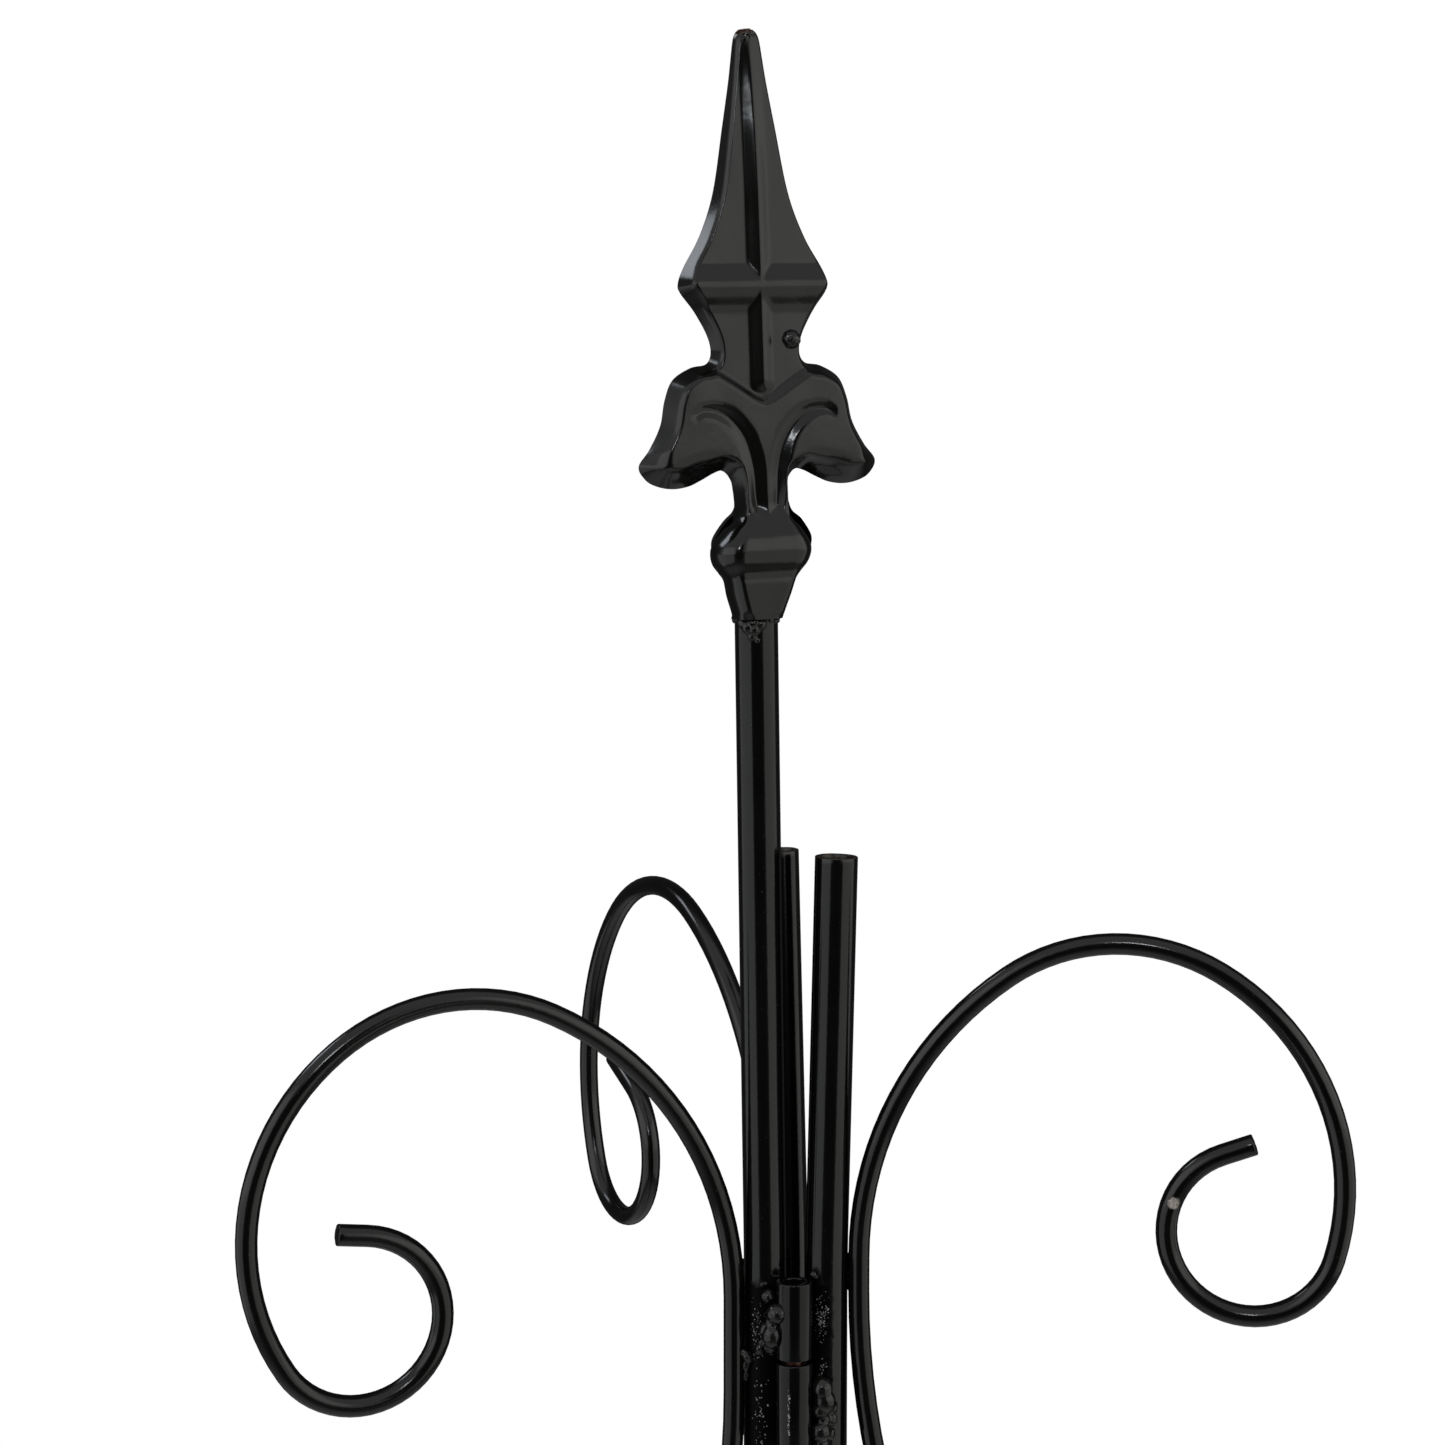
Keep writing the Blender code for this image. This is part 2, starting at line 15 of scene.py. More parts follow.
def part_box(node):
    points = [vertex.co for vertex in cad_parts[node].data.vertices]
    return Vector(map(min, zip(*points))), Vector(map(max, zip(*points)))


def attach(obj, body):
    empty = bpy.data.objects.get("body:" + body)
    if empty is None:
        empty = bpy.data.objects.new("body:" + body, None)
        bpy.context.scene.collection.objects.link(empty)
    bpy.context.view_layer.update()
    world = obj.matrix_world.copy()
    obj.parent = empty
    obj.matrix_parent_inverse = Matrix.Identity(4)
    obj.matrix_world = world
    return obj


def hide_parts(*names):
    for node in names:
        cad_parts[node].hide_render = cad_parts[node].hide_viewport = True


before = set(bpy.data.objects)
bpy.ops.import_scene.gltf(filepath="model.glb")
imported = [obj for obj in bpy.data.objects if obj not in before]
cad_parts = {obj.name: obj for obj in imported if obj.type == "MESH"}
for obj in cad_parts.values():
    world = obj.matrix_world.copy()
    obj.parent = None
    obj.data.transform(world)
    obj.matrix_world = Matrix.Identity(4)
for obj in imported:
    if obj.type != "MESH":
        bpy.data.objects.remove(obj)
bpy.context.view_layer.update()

# Stock, as in the CAD
TUBE_R = 0.00635
TUBE_WALL = 0.00125
BAR_R = 0.00315
ROD_R = 0.0028
GAP = 0.0003
CHORD_ERROR = 0.00004    # how far a bend's straight pieces may stand off its arc

# Heights
JOINT_Z = 1.10
FOOT_T = 0.004

# Crown outline, in each leg's plane
STUB_BEND_Z = 0.005
STUB_BEND_SPAN = 0.012
TUBE_DROP = 0.19
ROOF_TURN = 62.0
TUBE_SWEEP_R = 0.32
TUBE_ROOF = 0.16
TUBE_SHOULDER_R = 0.36
BAR_SWEEP_R = 0.245
BAR_SHOULDER_R = 0.42
PANEL_WIDTH = 0.15
CROWN_RUNG_SHARES = (0.04, 0.96)

# Hinges
BARREL_R = 0.0054
BARREL_BORE_R = 0.0031
BARREL_TOP = 0.0005
UPPER_LENGTH = 0.0232
LOWER_LENGTH = 0.0262
BARREL_SPACE = 0.0012
PIN_R = 0.0027
PIN_HEAD_R = 0.0044
PIN_HEAD_T = 0.0016
PIN_RECESS = 0.002
HINGE_REACH = TUBE_R + BARREL_R + GAP
FRONT_SLACK = 0.0008    # how much further the front barrel stands from the right tube

# Lower panel
RUNG_HEIGHTS = (1.02, 0.58, 0.34, 0.10)
SPIGOT_R = 0.0046
SPIGOT_BORE_R = 0.0034
SPIGOT_LENGTH = 0.080
SLEEVE_R = 0.0052
SLEEVE_BORE_R = 0.0037
SLEEVE_LENGTH = 0.050
CRIMP_WIDTH = 0.0012
CRIMP_DEPTH = 0.0006
FOOT_WIDTH = 0.016
FOOT_OVERHANG = 0.018

# Finial
FINIAL_Z = 0.1957
FINIAL_LEAN = math.radians(1.9)
TIP_BURN = 0.1685

# Bare spot on the right scroll: how far past the scroll's top, and its two radii
CHIP_PAST_TOP = 0.0149
CHIP_INNER_R = 0.0005
CHIP_OUTER_R = 0.0023

# Welds: height range from the hub of the painted shade round the front hinge, radii of the spatter,
# rung ends
SHADE_LOW = -0.062
SHADE_HIGH = -0.001
SPATTER_R = (0.00012, 0.00024)
SADDLE_FLARE = 0.0014
SADDLE_ROOT = 0.0022

# Coats
TUBE_ROUGHNESS = 0.13
BAR_ROUGHNESS = 0.16
BAR_TINT = (1.08, 1.0, 0.95)

# Camera and light
LENS = 71.13
CAMERA_FROM_HUB = Vector((-0.0217, -0.8264, 0.2365))
CAMERA_PITCH = 4.9
SKY_LEVEL = 0.62
DARK_FRONT = (0.30, 0.40, 0.45)    # sideways, where it starts to drop and ends, and its height
LAMPS = (    # name, azimuth, elevation, distance, width, height, radiance, colour
    ("left_box", -60, 0, 2.2, 2.4, 3.0, 0.62, (0.97, 0.99, 1.0)),
    ("left_low_box", -98, -14, 2.2, 0.7, 1.5, 0.62, (0.97, 0.99, 1.0)),
    ("right_box", 70, 0, 2.2, 3.2, 3.0, 0.62, (1.0, 1.0, 0.95)),
    ("rim_light", -112, 40, 2.0, 0.50, 0.45, 4.0, (0.86, 0.92, 1.0)),
    ("key_lamp", -7, 28.0, 2.2, 0.28, 0.12, 30.0, (0.90, 0.95, 1.0)),
)


class Leg:
    """Where one leg stands at the hub, and how its hand-bent bar sits on its tube."""

    def __init__(self, name, azimuth, tube, top, lean, neck_top, neck_low, scroll, tip):
        self.name, self.body = name, f"{name}_leg"
        self.azimuth = math.radians(azimuth)
        self.tube, self.lean = Vector(tube), Vector(lean)
        self.top, self.neck_top, self.neck_low = top, neck_top, neck_low
        self.scroll, self.tip = scroll, tip
        self.matrix = Matrix.Identity(4)


LEGS = (
    Leg("left", 199.4, (-0.0090, 0.00715), 0.2035, (-0.0150, -0.0053), -0.0060, -0.035,
        ((0.0984, 64.0), (0.0599, 64.0), (0.0686, 84.6), (0.0246, 230.8)), 0.0088),
    Leg("right", -10.7, (0.0092, 0.0070), 0.1257, (0.0216, -0.0041), 0.0061, -0.004,
        ((0.1054, 54.1), (0.0560, 66.1), (0.0727, 75.5), (0.0244, 233.6)), 0.0098),
    Leg("rear", 115.5, (-0.0021, 0.0207), 0.1257, (-0.0257, 0.0087), 0.0042, -0.020,
        ((0.1031, 64.4), (0.0553, 69.0), (0.0771, 71.3), (0.0242, 221.7)), 0.0176),
)


class Route:
    """A centreline in a leg's plane: x outwards, z up, heading in degrees from +x."""

    def __init__(self, x, z, heading):
        self.points = [(x, z)]
        self.heading = heading

    def straight(self, length, pieces):
        x, z = self.points[-1]
        turn = math.radians(self.heading)
        for step in range(1, pieces + 1):
            reach = length * step / pieces
            self.points.append((x + reach * math.cos(turn), z + reach * math.sin(turn)))
        return self

    def bend(self, radius, turn):
        x, z = self.points[-1]
        side = math.copysign(1.0, turn)
        start = math.radians(self.heading)
        centre = (x - side * radius * math.sin(start), z + side * radius * math.cos(start))
        largest = 2 * math.acos(1 - CHORD_ERROR / radius)
        steps = max(2, math.ceil(abs(math.radians(turn)) / largest))
        for step in range(1, steps + 1):
            angle = start + math.radians(turn) * step / steps
            self.points.append((centre[0] + side * radius * math.sin(angle),
                                centre[1] - side * radius * math.cos(angle)))
        self.heading += turn
        return self

    def down_to(self, z, pieces):
        return self.straight(self.points[-1][1] - z, pieces)


def bend_run(radius):
    """How far outwards a bend of the roof's turn carries a centreline."""
    return radius * (1 - math.cos(math.radians(ROOF_TURN)))


ROOF_SIN = math.sin(math.radians(ROOF_TURN))
NECK_X = TUBE_R + BAR_R + GAP
TUBE_X = bend_run(TUBE_SWEEP_R) + bend_run(TUBE_SHOULDER_R) + TUBE_ROOF * ROOF_SIN
BAR_X = TUBE_X + PANEL_WIDTH


def meeting_point(first, second, first_reach, second_reach, side):
    """The point at given distances from two points, on one side of the line between them."""
    line = second - first
    length = line.length
    along = (length ** 2 + first_reach ** 2 - second_reach ** 2) / (2 * length)
    away = math.sqrt(first_reach ** 2 - along ** 2)
    direction = line / length
    return first + direction * along + side * away * Vector((-direction.y, direction.x))


# The hub's place comes from the front hinge's upper knuckle
knuckle_low, knuckle_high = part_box("front_hinge_knuckle_top")
LEFT, RIGHT, REAR = LEGS
FRONT_AXIS = meeting_point(LEFT.tube, RIGHT.tube, HINGE_REACH, HINGE_REACH + FRONT_SLACK, -1)
BACK_AXIS = meeting_point(LEFT.tube, REAR.tube, HINGE_REACH, HINGE_REACH, 1)
HUB = Vector(((knuckle_low.x + knuckle_high.x) / 2 - FRONT_AXIS.x,
              (knuckle_low.y + knuckle_high.y) / 2 - FRONT_AXIS.y, knuckle_high.z - BARREL_TOP))
for one in LEGS:
    place = Matrix.Translation(HUB + Vector((*one.tube, 0)))
    one.matrix = place @ Matrix.Rotation(one.azimuth, 4, "Z")


# ---------------------------------------------------------------- materials
class Nodes:
    """Short calls that add and join the nodes of one tree."""

    def __init__(self, tree):
        self.tree = tree

    def put(self, value, socket):
        """Join an output to a socket, or set the socket to a plain value."""
        if isinstance(value, bpy.types.NodeSocket):
            self.tree.links.new(value, socket)
        elif isinstance(value, tuple) and socket.type == "RGBA":
            socket.default_value = (*value, 1.0)
        else:
            socket.default_value = value

    def add(self, kind, output, inputs=(), **settings):
        """Add a node, feed some of its inputs, and give one of its outputs."""
        node = self.tree.nodes.new(kind)
        for key, value in settings.items():
            setattr(node, key, value)
        for key, value in dict(inputs).items():
            self.put(value, node.inputs[key])
        return node.outputs[output]

    def range(self, value, low, high, to_low, to_high):
        ends = {"From Min": low, "From Max": high, "To Min": to_low, "To Max": to_high}
        return self.add("ShaderNodeMapRange", "Result", {"Value": value, **ends}, clamp=True)

    def math(self, operation, first, second=0.0):
        return self.add("ShaderNodeMath", "Value", {0: first, 1: second}, operation=operation)

    def vector(self, operation, first, second=(0.0, 0.0, 0.0)):
        output = "Value" if operation in ("DISTANCE", "LENGTH") else "Vector"
        return self.add("ShaderNodeVectorMath", output, {0: first, 1: second}, operation=operation)

    def axes(self, place):
        return self.add("ShaderNodeSeparateXYZ", 0, {0: place}).node.outputs


class Coat(Nodes):
    """A named material with calls for its colour, roughness and bumps."""

    def __init__(self, name):
        self.material = bpy.data.materials.new(name)
        self.material.use_nodes = True
        super().__init__(self.material.node_tree)
        self.shader = self.tree.nodes["Principled BSDF"]
        self.place = self.add("ShaderNodeTexCoord", "Object")

    def feed(self, key, value):
        self.put(value, self.shader.inputs[key])

    def fed(self, key):
        """What already runs into one of the shader's inputs."""
        return self.shader.inputs[key].links[0].from_socket

    def noise(self, scale, detail, stretch=None):
        place = self.place
        if stretch is not None:
            place = self.add("ShaderNodeMapping", "Vector", {"Vector": place, "Scale": stretch})
        settings = {"Vector": place, "Scale": scale, "Detail": detail}
        return self.add("ShaderNodeTexNoise", "Fac", settings)

    def ramp(self, value, stops):
        colour = self.add("ShaderNodeValToRGB", "Color", {"Fac": value})
        elements = colour.node.color_ramp.elements
        while len(elements) < len(stops):
            elements.new(0.5)
        for element, (position, shade) in zip(elements, stops):
            element.position = position
            element.color = (*shade, 1.0)
        return colour

    def mix(self, share, first, second):
        return self.add("ShaderNodeMix", 2, {0: share, 6: first, 7: second}, data_type="RGBA")

    def over(self, share, colour):
        """Lay a colour over the coat where the share is high."""
        self.feed("Base Color", self.mix(share, self.fed("Base Color"), colour))

    def rougher(self, share, amount):
        extra = self.math("MULTIPLY", share, amount)
        self.feed("Roughness", self.math("ADD", self.fed("Roughness"), extra))

    def uneven(self, low, high, *grain):
        """Roughness that drifts between two values."""
        self.feed("Roughness", self.range(self.noise(*grain), 0.3, 0.7, low, high))

    def bump(self, *layers):
        """A chain of noise bumps into the shader's normal."""
        below = {}
        for strength, distance, *grain in layers:
            inputs = {"Strength": strength, "Distance": distance, "Height": self.noise(*grain)}
            below = {"Normal": self.add("ShaderNodeBump", "Normal", {**inputs, **below})}
        self.feed("Normal", below["Normal"])

    def near(self, point, inner, outer):
        """1 within a distance of a point, fading to 0, with a ragged edge."""
        ragged = self.math("MULTIPLY", self.noise(700.0, 3.0), outer - inner)
        reach = self.math("ADD", self.vector("DISTANCE", self.place, tuple(point)), ragged)
        return self.range(reach, outer, outer + (outer - inner) * 0.3, 1.0, 0.0)

    def beside(self, centre, reach, low, high):
        """1 within a distance of an upright axis between two heights, with ragged edges."""
        level_place = self.vector("MULTIPLY", self.place, (1.0, 1.0, 0.0))
        away = self.vector("DISTANCE", level_place, (centre.x, centre.y, 0.0))
        ragged = self.math("MULTIPLY", self.noise(320.0, 4.0), 0.006)
        away = self.math("ADD", away, ragged)
        height = self.math("ADD", self.axes(self.place)["Z"], ragged)
        inside = self.range(away, reach + 0.0026, reach + 0.0036, 1.0, 0.0)
        above = self.range(height, low, low + 0.006, 0.0, 1.0)
        below = self.range(height, high + 0.0025, high + 0.0045, 1.0, 0.0)
        return self.math("MULTIPLY", inside, self.math("MULTIPLY", above, below))


def mottled_coat(name, grain, stops, rough, *bumps):
    """Colour from a ramp over one noise, drifting roughness and noise bumps.

    Each noise is (scale, detail) or (scale, detail, stretch). The roughness is
    (low, high, *noise) and each bump is (strength, distance, *noise).
    """
    coat = Coat(name)
    coat.feed("Base Color", coat.ramp(coat.noise(*grain), stops))
    coat.uneven(*rough)
    coat.bump(*bumps)
    return coat


def powder_coat(name, roughness, tint=(1.0, 1.0, 1.06)):
    """Black baked powder paint: orange peel, faint mottling and a little dust."""
    dark, light = (tuple(level * part for part in tint) for level in (0.0010, 0.0026))
    coat = mottled_coat(name, (38.0, 4.0), ((0.35, dark), (0.70, light)),
                        (roughness * 0.85, roughness * 1.2, 90.0, 3.0),
                        (0.10, 0.00025, 420.0, 2.0), (0.10, 0.00006, 1400.0, 2.0))
    coat.over(coat.range(coat.noise(1500.0, 1.0), 0.76, 0.80, 0.0, 1.0), (0.05, 0.048, 0.045))
    return coat


def barrel_coat():
    """The tubes' coat, a little duller."""
    coat = powder_coat("barrel_coat", TUBE_ROUGHNESS)
    coat.feed("Specular Tint", (0.66, 0.66, 0.66))
    return coat.material


def shaded_tube_coat(name, centre, reach):
    """The tubes' coat, rougher round the front hinge weld, with painted shade darkening it there.
    """
    coat = powder_coat(name, TUBE_ROUGHNESS)
    # Painted shade in the valley by the front hinge, between barrel, bar neck and tube: a darker
    # colour and a tenth of the reflection; the added roughness is a rougher coat there.
    painted_shade = coat.beside(centre, reach, HUB.z + SHADE_LOW, HUB.z + SHADE_HIGH)
    coat.over(painted_shade, (0.0012, 0.0011, 0.0012))
    coat.rougher(painted_shade, 0.38)
    coat.feed("Specular Tint", coat.mix(painted_shade, (1.0, 1.0, 1.0), (0.10, 0.10, 0.10)))
    return coat.material


def chipped_coat(chip):
    """The right bar's coat, knocked off to primer and steel in one small place."""
    coat = powder_coat("bar_coat_chipped", BAR_ROUGHNESS, BAR_TINT)
    bare = coat.near(chip, CHIP_INNER_R, CHIP_OUTER_R)
    stops = (0.35, (0.16, 0.14, 0.12)), (0.65, (0.50, 0.46, 0.41))
    coat.over(bare, coat.ramp(coat.noise(1200.0, 4.0), stops))
    coat.rougher(bare, 0.3)
    return coat.material


def finial_coat():
    """Gloss black over rolled sheet: fine upright drawing lines, and a scorched tip."""
    stops = (0.35, (0.0022, 0.0022, 0.0018)), (0.70, (0.0042, 0.0042, 0.0035))
    coat = mottled_coat("finial_coat", (30.0, 4.0), stops,
                        (0.13, 0.19, 120.0, 4.0, (1.0, 1.0, 0.08)),
                        (0.10, 0.00010, 1300.0, 3.0, (1.0, 1.0, 0.03)),
                        (0.08, 0.00020, 500.0, 2.0))
    burn_z = HUB.z + FINIAL_Z + TIP_BURN
    ragged = coat.math("MULTIPLY", coat.noise(600.0, 3.0), 0.0030)
    height = coat.math("ADD", coat.axes(coat.place)["Z"], ragged)
    coat.over(coat.range(height, burn_z, burn_z + 0.0012, 0.0, 1.0), (0.060, 0.028, 0.016))
    return coat.material


def weld_coat():
    """Thick glossy paint run over weld metal."""
    stops = (0.35, (0.0035, 0.0034, 0.0036)), (0.75, (0.0120, 0.0105, 0.0090))
    return mottled_coat("weld_coat", (260.0, 3.0), stops, (0.06, 0.15, 400.0, 2.0),
                        (0.12, 0.00020, 700.0, 2.0)).material


def spatter_steel():
    """Frozen droplets of weld metal, thinly painted and rubbed bright on top."""
    grain, low, high = (900.0, 3.0), 0.38, 0.62
    stops = (low, (0.010, 0.010, 0.011)), (high, (0.42, 0.42, 0.43))
    coat = mottled_coat("spatter_steel", grain, stops, (0.10, 0.28, 1500.0, 2.0),
                        (0.3, 0.00006, 2500.0, 2.0))
    coat.feed("Metallic", coat.range(coat.noise(*grain), low, high, 0.0, 0.9))
    return coat.material


def rusty_steel():
    """Hinge pin: bare steel gone red-brown where the paint doesn't reach."""
    stops = ((0.34, (0.030, 0.012, 0.009)), (0.56, (0.11, 0.032, 0.018)),
             (0.74, (0.32, 0.17, 0.12)))
    coat = mottled_coat("pin_steel", (700.0, 5.0), stops, (0.35, 0.65, 500.0, 3.0),
                        (0.5, 0.00012, 1600.0, 4.0))
    coat.feed("Metallic", coat.range(coat.noise(650.0, 4.0), 0.40, 0.60, 0.25, 0.85))
    return coat.material


def zinc_steel():
    """Plated spigot: dull spangled zinc with drawing lines."""
    coat = Coat("zinc_steel")
    cells = coat.add("ShaderNodeTexVoronoi", "Distance", {"Vector": coat.place, "Scale": 420.0})
    stops = (0.0, (0.40, 0.41, 0.42)), (0.8, (0.56, 0.57, 0.58))
    coat.feed("Base Color", coat.ramp(cells, stops))
    coat.feed("Metallic", 1.0)
    coat.uneven(0.28, 0.46, 900.0, 3.0)
    coat.bump((0.25, 0.0001, 2000.0, 2.0, (1.0, 1.0, 0.05)))
    return coat.material


def cut_rim():
    """Sawn tube end: thin scorched paint over steel."""
    stops = ((0.35, (0.006, 0.005, 0.005)), (0.60, (0.030, 0.018, 0.012)),
             (0.80, (0.080, 0.055, 0.040)))
    return mottled_coat("cut_rim", (500.0, 4.0), stops, (0.22, 0.42, 800.0, 3.0),
                        (0.5, 0.00015, 1500.0, 4.0)).material


TUBE_COAT = powder_coat("tube_coat", TUBE_ROUGHNESS).material
BARREL_COAT = barrel_coat()
FRONT_CENTRE = HUB.xy + FRONT_AXIS
# The left and right tubes carry painted shade round the front hinge.
CROWN_COATS = {
    "left": shaded_tube_coat("left_tube_coat", FRONT_CENTRE + Vector((-0.0060, 0.0)), 0.0110),
    "right": shaded_tube_coat("right_tube_coat", FRONT_CENTRE, 0.0112), "rear": TUBE_COAT}
BAR_COAT = powder_coat("bar_coat", BAR_ROUGHNESS, BAR_TINT).material
FINIAL_COAT = finial_coat()
WELD_COAT = weld_coat()
SPATTER_STEEL = spatter_steel()
PIN_STEEL = rusty_steel()
ZINC_STEEL = zinc_steel()
CUT_RIM = cut_rim()


# ---------------------------------------------------------------- mesh helpers
def piece(name, verts, faces, materials, body, nodes=(), matrix=None,
          indices=None, sharp=50.0):
    """One smooth-shaded object riding on a body, with its vertices in the frame."""
    mesh = bpy.data.meshes.new(name)
    mesh.from_pydata([tuple(v) for v in np.asarray(verts).reshape(-1, 3).tolist()], [], faces)
    mesh.validate()
    if matrix is not None:
        mesh.transform(matrix)
    mesh.update()
    for one_material in materials:
        mesh.materials.append(one_material)
    if indices is not None:
        mesh.polygons.foreach_set("material_index", indices)
    mesh.shade_smooth()
    mesh.set_sharp_from_angle(angle=math.radians(sharp))
    made = bpy.data.objects.new(name, mesh)
    bpy.context.scene.collection.objects.link(made)
    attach(made, body)
    if nodes:
        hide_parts(*nodes)
    return made


def leg_skin(leg, part, shape, *materials, slot="powder_coat"):
    """The skin of one named part of a leg, from (verts, faces) or (verts, faces, indices)."""
    verts, faces, *indices = shape
    name = f"{leg.name}_{part}"
    piece(f"{name}_skin", verts, faces, materials, leg.body, [name], leg.matrix,
          indices[0] if indices else None)


def turns_of(sides):
    """Evenly spaced angles, half a step off the first axis."""
    return 2 * np.pi * (np.arange(sides) + 0.5) / sides


def skin_faces(count, sides, closed=False):
    """Quads between successive rings of one size, the last joined to the first if closed."""
    faces = []
    for low in range(count if closed else count - 1):
        high = (low + 1) % count
        for side in range(sides):
            after = (side + 1) % sides
            faces.append((low * sides + side, low * sides + after,
                          high * sides + after, high * sides + side))
    return faces


def capped(rings):
    """A stack of rings, lowest first, skinned and closed at both ends."""
    rings = np.asarray(rings)
    count, sides = rings.shape[:2]
    faces = skin_faces(count, sides)
    faces.append(tuple(range(sides))[::-1])
    faces.append(tuple(range((count - 1) * sides, count * sides)))
    return rings.reshape(-1, 3), faces


def merged(shapes):
    """Several (verts, faces) in one."""
    verts, faces = [], []
    for more_verts, more_faces in shapes:
        faces += [tuple(len(verts) + index for index in face) for face in more_faces]
        verts += list(more_verts)
    return np.array(verts), faces


def ball(middle, across, up, out, rows, around):
    """A ball or egg about a middle, its poles on the out axis."""
    middle, across, up, out = (np.asarray(item, float) for item in (middle, across, up, out))
    rings = []
    for row in range(rows - 1, 0, -1):
        polar = math.pi * row / rows
        rings.append([middle + out * math.cos(polar)
                      + (across * math.cos(turn) + up * math.sin(turn)) * math.sin(polar)
                      for turn in 2 * np.pi * np.arange(around) / around])
    return capped(rings)


def path_frames(points):
    """Tangent, across and up at each point of a line that stays near a leg's plane."""
    tangent = np.gradient(points, axis=0)
    tangent /= np.linalg.norm(tangent, axis=1)[:, None]
    across = np.cross(tangent, (0.0, 1.0, 0.0))
    across /= np.linalg.norm(across, axis=1)[:, None]
    return tangent, across, np.cross(across, tangent)


def rings_along(points, radius, sides):
    """Rings of one radius square to a line."""
    _, across, up = path_frames(points)
    angle = turns_of(sides)
    circle = (np.cos(angle)[None, :, None] * across[:, None, :]
              + np.sin(angle)[None, :, None] * up[:, None, :])
    return points[:, None, :] + radius * circle


def end_rings(point, tangent, across, up, profile, sides, wander, seed):
    """Rings stacked past the end of a sweep, from (radius, how far along) pairs."""
    angle = turns_of(sides)
    circle = np.cos(angle)[:, None] * across + np.sin(angle)[:, None] * up
    rings = []
    for radius, reach in profile:
        ragged = np.array([wander * noise.noise(Vector((3 * math.cos(a), 3 * math.sin(a),
                                                        seed + 900 * radius))) for a in angle])
        rings.append(point + tangent * (reach + ragged)[:, None] + circle * radius)
    return np.array(rings)


def swept(points, radii, profile, trim, sides, wander, seeds):
    """Rings along a line for each radius, and the rings that finish its head and tail."""
    points = np.asarray(points, float)
    tangent, across, up = path_frames(points)
    inner = points.copy()
    inner[0] += tangent[0] * trim
    inner[-1] -= tangent[-1] * trim
    walls = [rings_along(inner, radius, sides) for radius in radii]
    head = end_rings(inner[-1], tangent[-1], across[-1], up[-1], profile, sides, wander, seeds[0])
    tail = end_rings(inner[0], -tangent[0], across[0], up[0], profile, sides, wander, seeds[1])
    return walls, head, tail


def rod(points, radius, sides, seed):
    """A solid rod with sheared ends: chamfered rim and a slightly uneven cut face."""
    chamfer = 0.0004
    face = [(radius - chamfer * 0.3, chamfer * 0.6), (radius - chamfer, chamfer * 0.95),
            (radius * 0.66, chamfer * 0.98), (radius * 0.36, chamfer * 0.95),
            (radius * 0.12, chamfer)]
    (body,), head, tail = swept(points, (radius,), face, chamfer, sides, 0.00012, (seed, seed + 5))
    return capped(np.concatenate([tail[::-1], body, head]))


def pipe(points, burr, seed):
    """An open tube with rounded rims; the rims' faces get the second material."""
    bore, lip, sides = TUBE_R - TUBE_WALL, 0.0003, 40
    middle, half = (TUBE_R + bore) / 2, (TUBE_R - bore) / 2
    rim = [(middle + half * math.cos(math.radians(a)) + burr * math.sin(math.radians(a)) ** 2,
            lip * math.sin(math.radians(a))) for a in (25, 50, 75, 105, 130, 155)]
    (outer, inner), head, tail = swept(points, (TUBE_R, bore), rim, lip, sides, lip * 0.25,
                                       (seed, seed + 3))
    rings = np.concatenate([outer, head, inner[::-1], tail[::-1]])
    faces = skin_faces(len(rings), sides, closed=True)
    indices = np.zeros(len(faces), np.int32)
    indices[(len(outer) - 1) * sides:] = 1
    return rings.reshape(-1, 3), faces, indices


def turned(profile, centre, closed=True):
    """A profile of (radius, height) turned about an upright axis."""
    sides = 40
    rings = np.array([[(centre[0] + r * math.cos(a), centre[1] + r * math.sin(a), centre[2] + z)
                       for a in turns_of(sides)] for r, z in profile])
    return (rings, skin_faces(len(profile), sides, True)) if closed else capped(rings)


def rounded_wall(radius, bore, low, high, lip=0.0003):
    """Closed profile of a short ring with all four corners rounded."""
    corner = []
    for r, z, start in ((radius - lip, high - lip, 0), (bore + lip, high - lip, 90),
                        (bore + lip, low + lip, 180), (radius - lip, low + lip, 270)):
        for step in range(4):
            angle = math.radians(start + 30 * step)
            corner.append((r + lip * math.cos(angle), z + lip * math.sin(angle)))
    return corner


def flat(points):
    """Points of a leg's plane in its own three axes."""
    return np.array([(x, 0.0, z) for x, z in points])


# ---------------------------------------------------------------- legs
def crown_tube(leg):
    """The whole bent tube: leaning stub, hub, sweep, roof and shoulder."""
    lean = leg.lean.copy()
    lean.rotate(Matrix.Rotation(-leg.azimuth, 2))
    low = STUB_BEND_Z - STUB_BEND_SPAN
    stub = []
    for height in np.linspace(leg.top, low, 60):
        over = height - STUB_BEND_Z
        if abs(over) < STUB_BEND_SPAN:
            over = (over + STUB_BEND_SPAN) ** 2 / (4 * STUB_BEND_SPAN)
        over = max(over, 0.0)
        stub.append((lean.x * over, lean.y * over, height))
    route = Route(0.0, low, -90).down_to(-TUBE_DROP, 8)
    route.bend(TUBE_SWEEP_R, ROOF_TURN).straight(TUBE_ROOF, 6)
    route.bend(TUBE_SHOULDER_R, -ROOF_TURN).down_to(JOINT_Z - HUB.z + GAP / 2, 8)
    points = np.concatenate([np.array(stub), flat(route.points)[1:]])
    leg_skin(leg, "crown_tube", pipe(points, 0.00012, leg.azimuth), CROWN_COATS[leg.name], CUT_RIM)


def bar_down(leg):
    """The bar's route from its neck weld, out over the roof and down to the joint."""
    roof = (BAR_X - NECK_X - bend_run(BAR_SWEEP_R) - bend_run(BAR_SHOULDER_R)) / ROOF_SIN
    route = Route(NECK_X, leg.neck_top, -90).down_to(leg.neck_low, 4)
    route.bend(BAR_SWEEP_R, ROOF_TURN)
    roof_start = route.points[-1]
    route.straight(roof, 6).bend(BAR_SHOULDER_R, -ROOF_TURN)
    route.down_to(JOINT_Z - HUB.z + GAP / 2, 8)
    return route.points, roof_start


